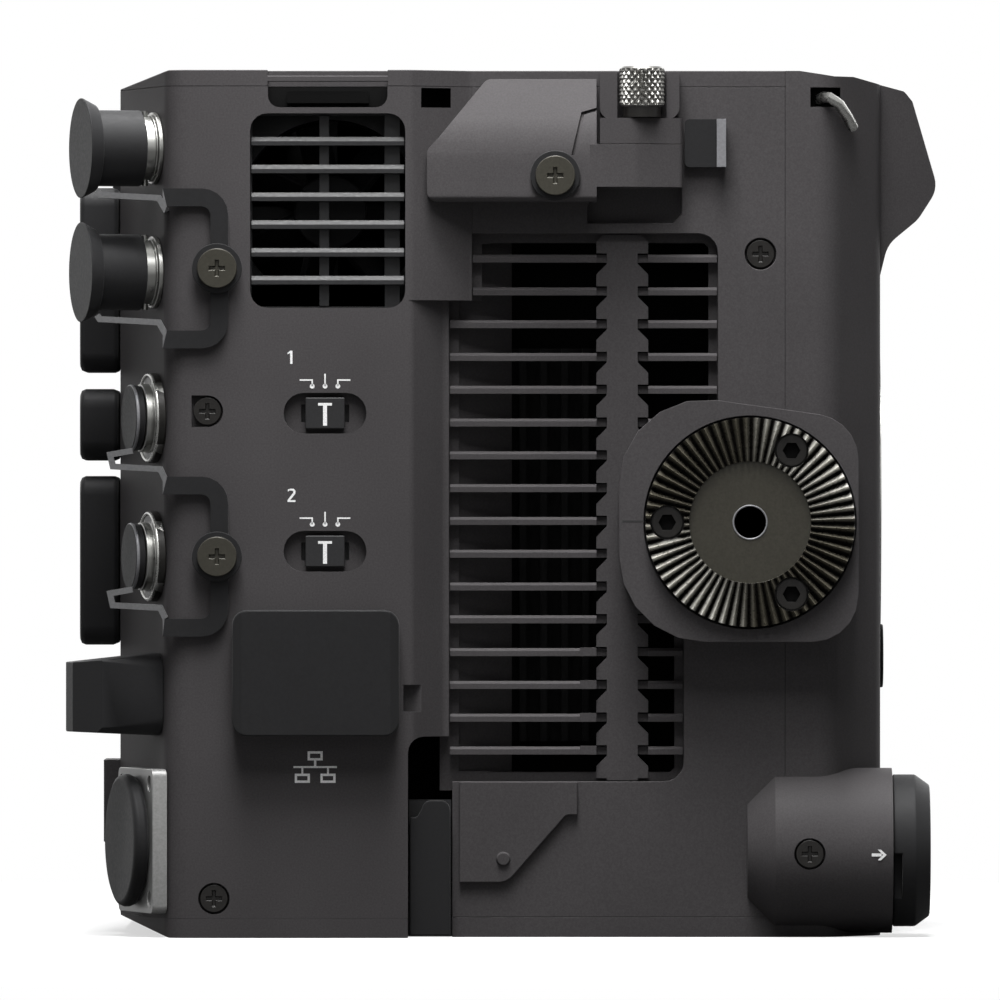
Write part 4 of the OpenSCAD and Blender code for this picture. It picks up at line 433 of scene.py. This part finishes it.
def refine(node, material, width, second):
    """A softened copy of a node stands for it: its edges are rounded so that they catch the light."""
    me = bpy.data.meshes.new("v_" + node)
    o = bpy.data.objects.new("v_" + node, me)
    SCENE.collection.objects.link(o)
    bm = bmesh.new()
    bm.from_mesh(frame["nodes"][node].data)
    bmesh.ops.remove_doubles(bm, verts=bm.verts, dist=WELD)
    for f in bm.faces:
        f.smooth = True
        f.material_index = 0
    if second:
        mark_second(bm, second[1])
    bmesh.ops.dissolve_limit(bm, angle_limit=FLAT_ANGLE, verts=bm.verts, edges=bm.edges, delimit={"MATERIAL"})
    bm.to_mesh(me)
    bm.free()
    if me.attributes.get("custom_normal"):
        me.attributes.remove(me.attributes["custom_normal"])
    me.set_sharp_from_angle(angle=SHARP_ANGLE)
    me.materials.append(material)
    if second:
        me.materials.append(M[second[0]])
    if width:
        b = o.modifiers.new("soft_edges", "BEVEL")
        b.width = width * MM
        b.segments = 2
        b.limit_method = "ANGLE"
        b.angle_limit = BEVEL_ANGLE
        b.use_clamp_overlap = True
        b.miter_outer = "MITER_SHARP"
        b.harden_normals = True
    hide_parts(node)
    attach(o, NODE_BODY[node])


def dress(obj, material):
    """The node's own mesh with a better material."""
    for slot in obj.material_slots:
        slot.material = material
    if not obj.material_slots:
        obj.data.materials.append(material)


for node, obj in frame["nodes"].items():
    mat = M[LOOK.get(node, NODE_SLOT[node])]
    if node in KEEP:
        dress(obj, mat)
    elif node not in OWN:
        refine(node, mat, EDGES.get(node, EDGE), SECOND.get(node))


def new_object(name, bm, material, body="camera_body", smooth=False):
    me = bpy.data.meshes.new(name)
    bm.normal_update()
    for f in bm.faces:
        f.smooth = smooth
    bm.to_mesh(me)
    bm.free()
    o = bpy.data.objects.new(name, me)
    SCENE.collection.objects.link(o)
    me.materials.append(material)
    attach(o, body)
    return o


# Printed marks and the painted shadow of one engraved line, drawn in millimetres on faces that look to the
# right
SIDE_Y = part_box("right_rear_cover")[0].y / MM
MARK_SINK = 0.01
MARK_LIFT = 0.03


def side_shapes(name, shapes, y, material, body="camera_body", lift=MARK_LIFT):
    """Flat shapes on a face at y; each shape is a list of (x, z)."""
    bm = bmesh.new()
    for pts in shapes:
        back = [bm.verts.new((x * MM, (y + MARK_SINK) * MM, z * MM)) for x, z in pts]
        face = [bm.verts.new((x * MM, (y - lift) * MM, z * MM)) for x, z in pts]
        n = len(pts)
        bm.faces.new(face)
        bm.faces.new(list(reversed(back)))
        for i in range(n):
            bm.faces.new([back[i], back[(i + 1) % n], face[(i + 1) % n], face[i]])
    bmesh.ops.recalc_face_normals(bm, faces=bm.faces)
    new_object(name, bm, material, body)


def bar(x0, z0, x1, z1):
    return [(x0, z0), (x1, z0), (x1, z1), (x0, z1)]


def outline(x0, z0, x1, z1, w):
    return [bar(x0, z0, x1, z0 + w), bar(x0, z1 - w, x1, z1), bar(x0, z0 + w, x0 + w, z1 - w),
            bar(x1 - w, z0 + w, x1, z1 - w)]


def dot(x, z, r, n=20):
    return [(x + r * math.cos(2 * math.pi * i / n), z + r * math.sin(2 * math.pi * i / n)) for i in range(n)]


def moved(shapes, x, z):
    return [[(a + x, b + z) for a, b in pts] for pts in shapes]


def input_marks(pitch=1.95, dot_r=0.36, line_w=0.22, tall=1.9, low=1.05, reach=1.9):
    """Three dots, the middle one under a tall line and the others under lines that turn outwards."""
    half = line_w / 2
    shapes = [dot(s * pitch, 0, dot_r) for s in (-1, 0, 1)]
    shapes += [bar(-half, 0, half, tall)]
    for s in (-1, 1):
        x = s * pitch
        shapes += [bar(x - half, 0, x + half, low)]
        a, b = sorted((x + s * half, x + s * reach))
        shapes += [bar(a, low - line_w, b, low)]
    return shapes


def slider_mark():
    """A bar over a stem."""
    return [bar(-1.05, 1.15, 1.05, 1.55), bar(-0.3, -1.9, 0.3, 1.15)]


# The numerals are drawn as strokes that start at their lower left corner
NUMERAL_ONE = [[(0.4, 2), (0.75, 2), (0.75, 0), (0.4, 0)], [(0, 1.45), (0.4, 1.65), (0.4, 2), (0, 1.68)]]
NUMERAL_TWO = [bar(0, 0, 1.2, 0.28), [(0, 0.28), (0.4, 0.28), (1.18, 1.25), (0.85, 1.4)],
               [(0.85, 1.4), (1.18, 1.25), (1.22, 1.7), (0.88, 1.65)],
               [(0.88, 1.65), (1.22, 1.7), (0.95, 2), (0.6, 1.72)],
               [(0.6, 1.72), (0.95, 2), (0.45, 2.03), (0.3, 1.75)],
               [(0.3, 1.75), (0.45, 2.03), (0.05, 1.9), (0.05, 1.55)]]
SWITCH_X = -26.6
SWITCH_HEIGHTS = (79.8, 58.8)
MARKS_UP = 4.1
NUMERAL_X = -32.3
NUMERAL_UP = 7.5

for number, z in enumerate(SWITCH_HEIGHTS, 1):
    switch = "input_switch_%d" % number
    side_shapes("marks_input_%d" % number, moved(input_marks(), SWITCH_X, z + MARKS_UP), SIDE_Y, INK)
    knob_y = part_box(switch)[0].y / MM
    side_shapes("slider_mark_%d" % number, moved(slider_mark(), SWITCH_X, z), knob_y, INK, switch)
numerals = zip(SWITCH_HEIGHTS, (NUMERAL_ONE, NUMERAL_TWO))
for number, (z, strokes) in enumerate(numerals, 1):
    side_shapes("numeral_%d" % number, moved(strokes, NUMERAL_X, z + NUMERAL_UP), SIDE_Y, INK)


def network_symbol(box_w=2.3, box_h=1.4, w=0.36, apart=1.95, rise=3.4, line_z=2.25, line_w=0.3, reach=3.3):
    """One box above two, joined by lines."""
    shapes = outline(-box_w / 2, rise, box_w / 2, rise + box_h, w)
    for s in (-1, 1):
        shapes += outline(s * apart - box_w / 2, 0, s * apart + box_w / 2, box_h, w)
    shapes += [bar(-w / 2, line_z + line_w, w / 2, rise), bar(-reach, line_z, reach, line_z + line_w)]
    for s in (-1, 1):
        shapes += [bar(s * apart - line_w / 2, box_h, s * apart + line_w / 2, line_z)]
    return shapes


NETWORK_X, NETWORK_Z = -28.1, 23.6
side_shapes("network_symbol", moved(network_symbol(), NETWORK_X, NETWORK_Z), SIDE_Y, INK)

# Index line on the rosette's housing, from near its edge to the disc: a near-black sheet of painted shadow
# stands for its engraved groove
INDEX_LINE = bar(18.6, 63.25, 21.9, 63.5)
side_shapes("rosette_index", [INDEX_LINE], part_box("rosette_housing")[0].y / MM, DARK)


def arrow(stem=1.5, half_w=0.23, length=2.25, head=0.81, back=(1.35, 0.85), tip_w=0.55):
    """A stem and two slanted strokes that meet at the tip."""
    shapes = [bar(0, -half_w, stem, half_w)]
    for s in (-1, 1):
        outer, inner = (length - b for b in back)
        shapes += [[(outer, s * head), (inner, s * head), (length, 0), (length - tip_w, 0)]]
    return shapes


ARROW_IN, ARROW_DOWN = 3.3, 0.44
terminal_lo, terminal_hi = (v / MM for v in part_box("lens_terminal_housing"))
terminal_z = middle("lens_terminal_housing").z / MM
arrow_shapes = moved(arrow(), terminal_hi.x - ARROW_IN, terminal_z - ARROW_DOWN)
side_shapes("terminal_arrow", arrow_shapes, terminal_lo.y, INK, lift=0.05)


# Rims, lugs and contacts
def ring_mesh(bm, at, axis, radius, thick, around=64, section=10):
    """A torus about an axis."""
    turn = axis.normalized().to_track_quat("Z", "Y")
    loops = []
    for i in range(around):
        a = 2 * math.pi * i / around
        across = Vector((math.cos(a), math.sin(a), 0))
        tube = [2 * math.pi * j / section for j in range(section)]
        spots = [across * (radius + thick * math.cos(b)) + UP * thick * math.sin(b) for b in tube]
        loops.append([bm.verts.new(at + turn @ spot) for spot in spots])
    for a, b in zip(loops, loops[1:] + loops[:1]):
        for j in range(section):
            bm.faces.new([a[j], b[j], b[(j + 1) % section], a[(j + 1) % section]])
    bmesh.ops.recalc_face_normals(bm, faces=bm.faces)


def rod_mesh(bm, at, axis, radius, length, segments=20):
    """A round rod whose middle is at a point."""
    turn = axis.normalized().to_track_quat("Z", "Y").to_matrix().to_4x4()
    bmesh.ops.create_cone(bm, cap_ends=True, segments=segments, radius1=radius, radius2=radius, depth=length,
                          matrix=Matrix.Translation(at) @ turn)


def block_mesh(bm, at, size, turn=Matrix.Identity(4)):
    bmesh.ops.create_cube(bm, size=1, matrix=Matrix.Translation(at) @ turn @ Matrix.Diagonal((*size, 1)))


def piece(name, build, material, body="camera_body", smooth=True):
    bm = bmesh.new()
    build(bm)
    o = new_object(name, bm, material, body, smooth)
    o.data.set_sharp_from_angle(angle=math.radians(40))


FLANGE_T, FLANGE_RIM_R, FLANGE_RIM_T = 1.2 * MM, 6.55 * MM, 0.28 * MM
CAP_RIM_OUT, CAP_RIM_R, CAP_RIM_T = 3.9 * MM, 4.8 * MM, 0.32 * MM
LUG_OUT, LUG_AT, LUG_R, LUG_LENGTH = 1.75 * MM, 4.9 * MM, 0.5 * MM, 1.6 * MM
WASHER_OUT, WASHER_R, WASHER_T = 0.95 * MM, 4.9 * MM, 0.2 * MM

for level in LEVELS:
    def flange_rim(bm):
        """A plated rim round a microphone jack."""
        ring_mesh(bm, on_jack("xlr", level, FLANGE_T), OUTWARD, FLANGE_RIM_R, FLANGE_RIM_T)

    def cap_rim(bm):
        """A plated rim round its plug-in cap."""
        ring_mesh(bm, on_jack("xlr", level, CAP_RIM_OUT), OUTWARD, CAP_RIM_R, CAP_RIM_T)

    def lugs(bm):
        """Bayonet lugs and a washer on a coaxial jack."""
        for k in (1, -1):
            rod_mesh(bm, on_jack("bnc", level, LUG_OUT) + UP * k * LUG_AT, UP, LUG_R, LUG_LENGTH)
        ring_mesh(bm, on_jack("bnc", level, WASHER_OUT), OUTWARD, WASHER_R, WASHER_T)

    piece("xlr_rim_" + level, flange_rim, M["bright_metal"])
    piece("xlr_cap_rim_" + level, cap_rim, M["edge_plate"], "xlr_cap_" + level)
    piece("bnc_lugs_" + level, lugs, M["barrel"])


def bore_rim(bm, down=1.38 * MM, radius=2.55 * MM, thick=0.14 * MM):
    """The rim of the rosette's thread, on its flat middle: a ring in a lighter material that is partly the
    plated edge and partly a painted highlight.
    """
    ring_mesh(bm, Vector((DISC.x, DISC_LO.y + down, DISC.z)), ACROSS, radius, thick)


def sensor_window(bm, width=36 * MM, height=22 * MM, thick=0.3 * MM):
    """The filter glass, let a little into the sensor's face."""
    face_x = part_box("image_sensor")[1].x
    block_mesh(bm, Vector((face_x + thick / 3, 0, middle("image_sensor").z)), (thick, width, height))


def contact_pads(bm, count=9, step=math.radians(7), radius=25.4 * MM):
    """A row of gold pads along the contact block at the bottom of the mount's throat."""
    for k in range(count):
        a = (k - (count - 1) / 2) * step
        at = Vector((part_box("lens_contact_block")[1].x, radius * math.sin(a),
                     middle("lens_mount_ring").z - radius * math.cos(a)))
        rod_mesh(bm, at, FORWARD, 0.75 * MM, 0.5 * MM)


def dial_ribs(bm, count=40, size=(1.5 * MM, 0.3 * MM, 0.45 * MM), inset=0.9 * MM, sink=0.17 * MM):
    """Short ribs round the face of the control dial."""
    lo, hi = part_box("control_dial")
    mid = (lo + hi) / 2
    r = (hi.x - lo.x) / 2 - inset
    for k in range(count):
        a = 2 * math.pi * k / count
        at = Vector((mid.x + r * math.cos(a), hi.y - sink, mid.z + r * math.sin(a)))
        block_mesh(bm, at, size, Matrix.Rotation(-a, 4, "Y"))


piece("rosette_bore_rim", bore_rim, M["edge_plate"])
piece("sensor_window", sensor_window, M["glass"])
piece("contact_pads", contact_pads, M["gold"])
piece("dial_ribs", dial_ribs, M["soft_rubber"], "control_dial", smooth=False)

# Knurled thumbscrew: its head, neck and stud
HEAD_H = 6.1 * MM
HEAD_CORNER = 0.5 * MM
NECK_R, NECK_H = 2.9 * MM, 1.6 * MM
SCREW_STUD_R = 1.2 * MM
KNURL_DEPTH = 0.5 * MM
KNURLS = 18
KNURL_STEPS, KNURL_ROWS = 160, 30


def knurl_dip(a, rise, r):
    """How deep the knurl's two crossing grooves are at an angle and a height on the head."""
    u = KNURLS * a / (2 * math.pi)
    v = KNURLS * rise / (2 * math.pi * r)
    grooves = (abs(((u + v) % 1) - 0.5) * 2, abs(((u - v) % 1) - 0.5) * 2)
    return KNURL_DEPTH * max(grooves) ** 1.5


def thumbscrew():
    lo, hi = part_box("thumbscrew")
    mid = (lo + hi) / 2
    r, top, under_head = (hi.x - lo.x) / 2, hi.z, hi.z - HEAD_H
    first, last = under_head + 0.4 * MM, top - HEAD_CORNER
    half_corner = HEAD_CORNER / 2
    profile = [(under_head - NECK_H, NECK_R, False), (under_head - 0.02 * MM, NECK_R, False),
               (under_head, r - HEAD_CORNER, False), (under_head + half_corner, r - half_corner, False)]
    profile += [(first + (last - first) * i / (KNURL_ROWS - 1), r, True) for i in range(KNURL_ROWS)]
    profile += [(top - 0.3 * MM, r - 0.2 * MM, False), (top, r - HEAD_CORNER, False)]
    bm = bmesh.new()
    rings = []
    for z, rad, knurled in profile:
        ring = []
        for j in range(KNURL_STEPS):
            a = 2 * math.pi * j / KNURL_STEPS
            at = rad - (knurl_dip(a, z - under_head, r) if knurled else 0)
            ring.append(bm.verts.new((mid.x + at * math.cos(a), mid.y + at * math.sin(a), z)))
        rings.append(ring)
    for a, b in zip(rings, rings[1:]):
        for j in range(KNURL_STEPS):
            k = (j + 1) % KNURL_STEPS
            bm.faces.new([a[j], a[k], b[k], b[j]])
    bm.faces.new(list(reversed(rings[0])))
    bm.faces.new(rings[-1])
    stud_top = under_head - NECK_H + 0.1 * MM
    rod_mesh(bm, Vector((mid.x, mid.y, (stud_top + lo.z) / 2)), UP, SCREW_STUD_R, stud_top - lo.z, 24)
    for f in bm.faces:
        f.material_index = 1 if f.calc_center_median().z < under_head else 0
    o = new_object("thumbscrew_knurled", bm, M["knurl"], "thumbscrew")
    o.data.materials.append(M["screw_metal"])
    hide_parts("thumbscrew")


thumbscrew()

# Floor: dull paper that keeps the shadow near the object and turns to plain white further out
FLOOR_HALF = 6
FLOOR_GLOW = (0.62, 1.0)
FLOOR_REACH = (0.08, 0.32)
FLOOR_TONES = (0.07, 0.9)


def floor_paper():
    g = Graph("floor_paper")
    g.bsdf.inputs["Roughness"].default_value = 0.9
    glow = g.node("ShaderNodeEmission")
    glow.inputs["Color"].default_value = WHITE
    glow.inputs["Strength"].default_value = 1.0
    mix = g.node("ShaderNodeMixShader")
    rays = g.node("ShaderNodeLightPath")
    # dark to the object's lights, so that little light comes up from it
    g.link(g.between(rays.outputs["Is Camera Ray"], *FLOOR_TONES, 0, 1), g.bsdf.inputs["Base Color"])
    away = g.node("ShaderNodeVectorMath", operation="LENGTH")
    g.link(g.coord, away.inputs[0])
    share = g.between(away.outputs["Value"], *FLOOR_GLOW, *FLOOR_REACH)
    g.link(g.calc("MULTIPLY", rays.outputs["Is Camera Ray"], share), mix.inputs["Fac"])
    g.link(g.bsdf.outputs[0], mix.inputs[1])
    g.link(glow.outputs[0], mix.inputs[2])
    g.link(mix.outputs[0], g.out.inputs[0])
    return g.mat


me = bpy.data.meshes.new("floor")
bm = bmesh.new()
bmesh.ops.create_grid(bm, x_segments=1, y_segments=1, size=FLOOR_HALF)
bm.to_mesh(me)
bm.free()
floor = bpy.data.objects.new("floor", me)
SCENE.collection.objects.link(floor)
me.materials.append(floor_paper())
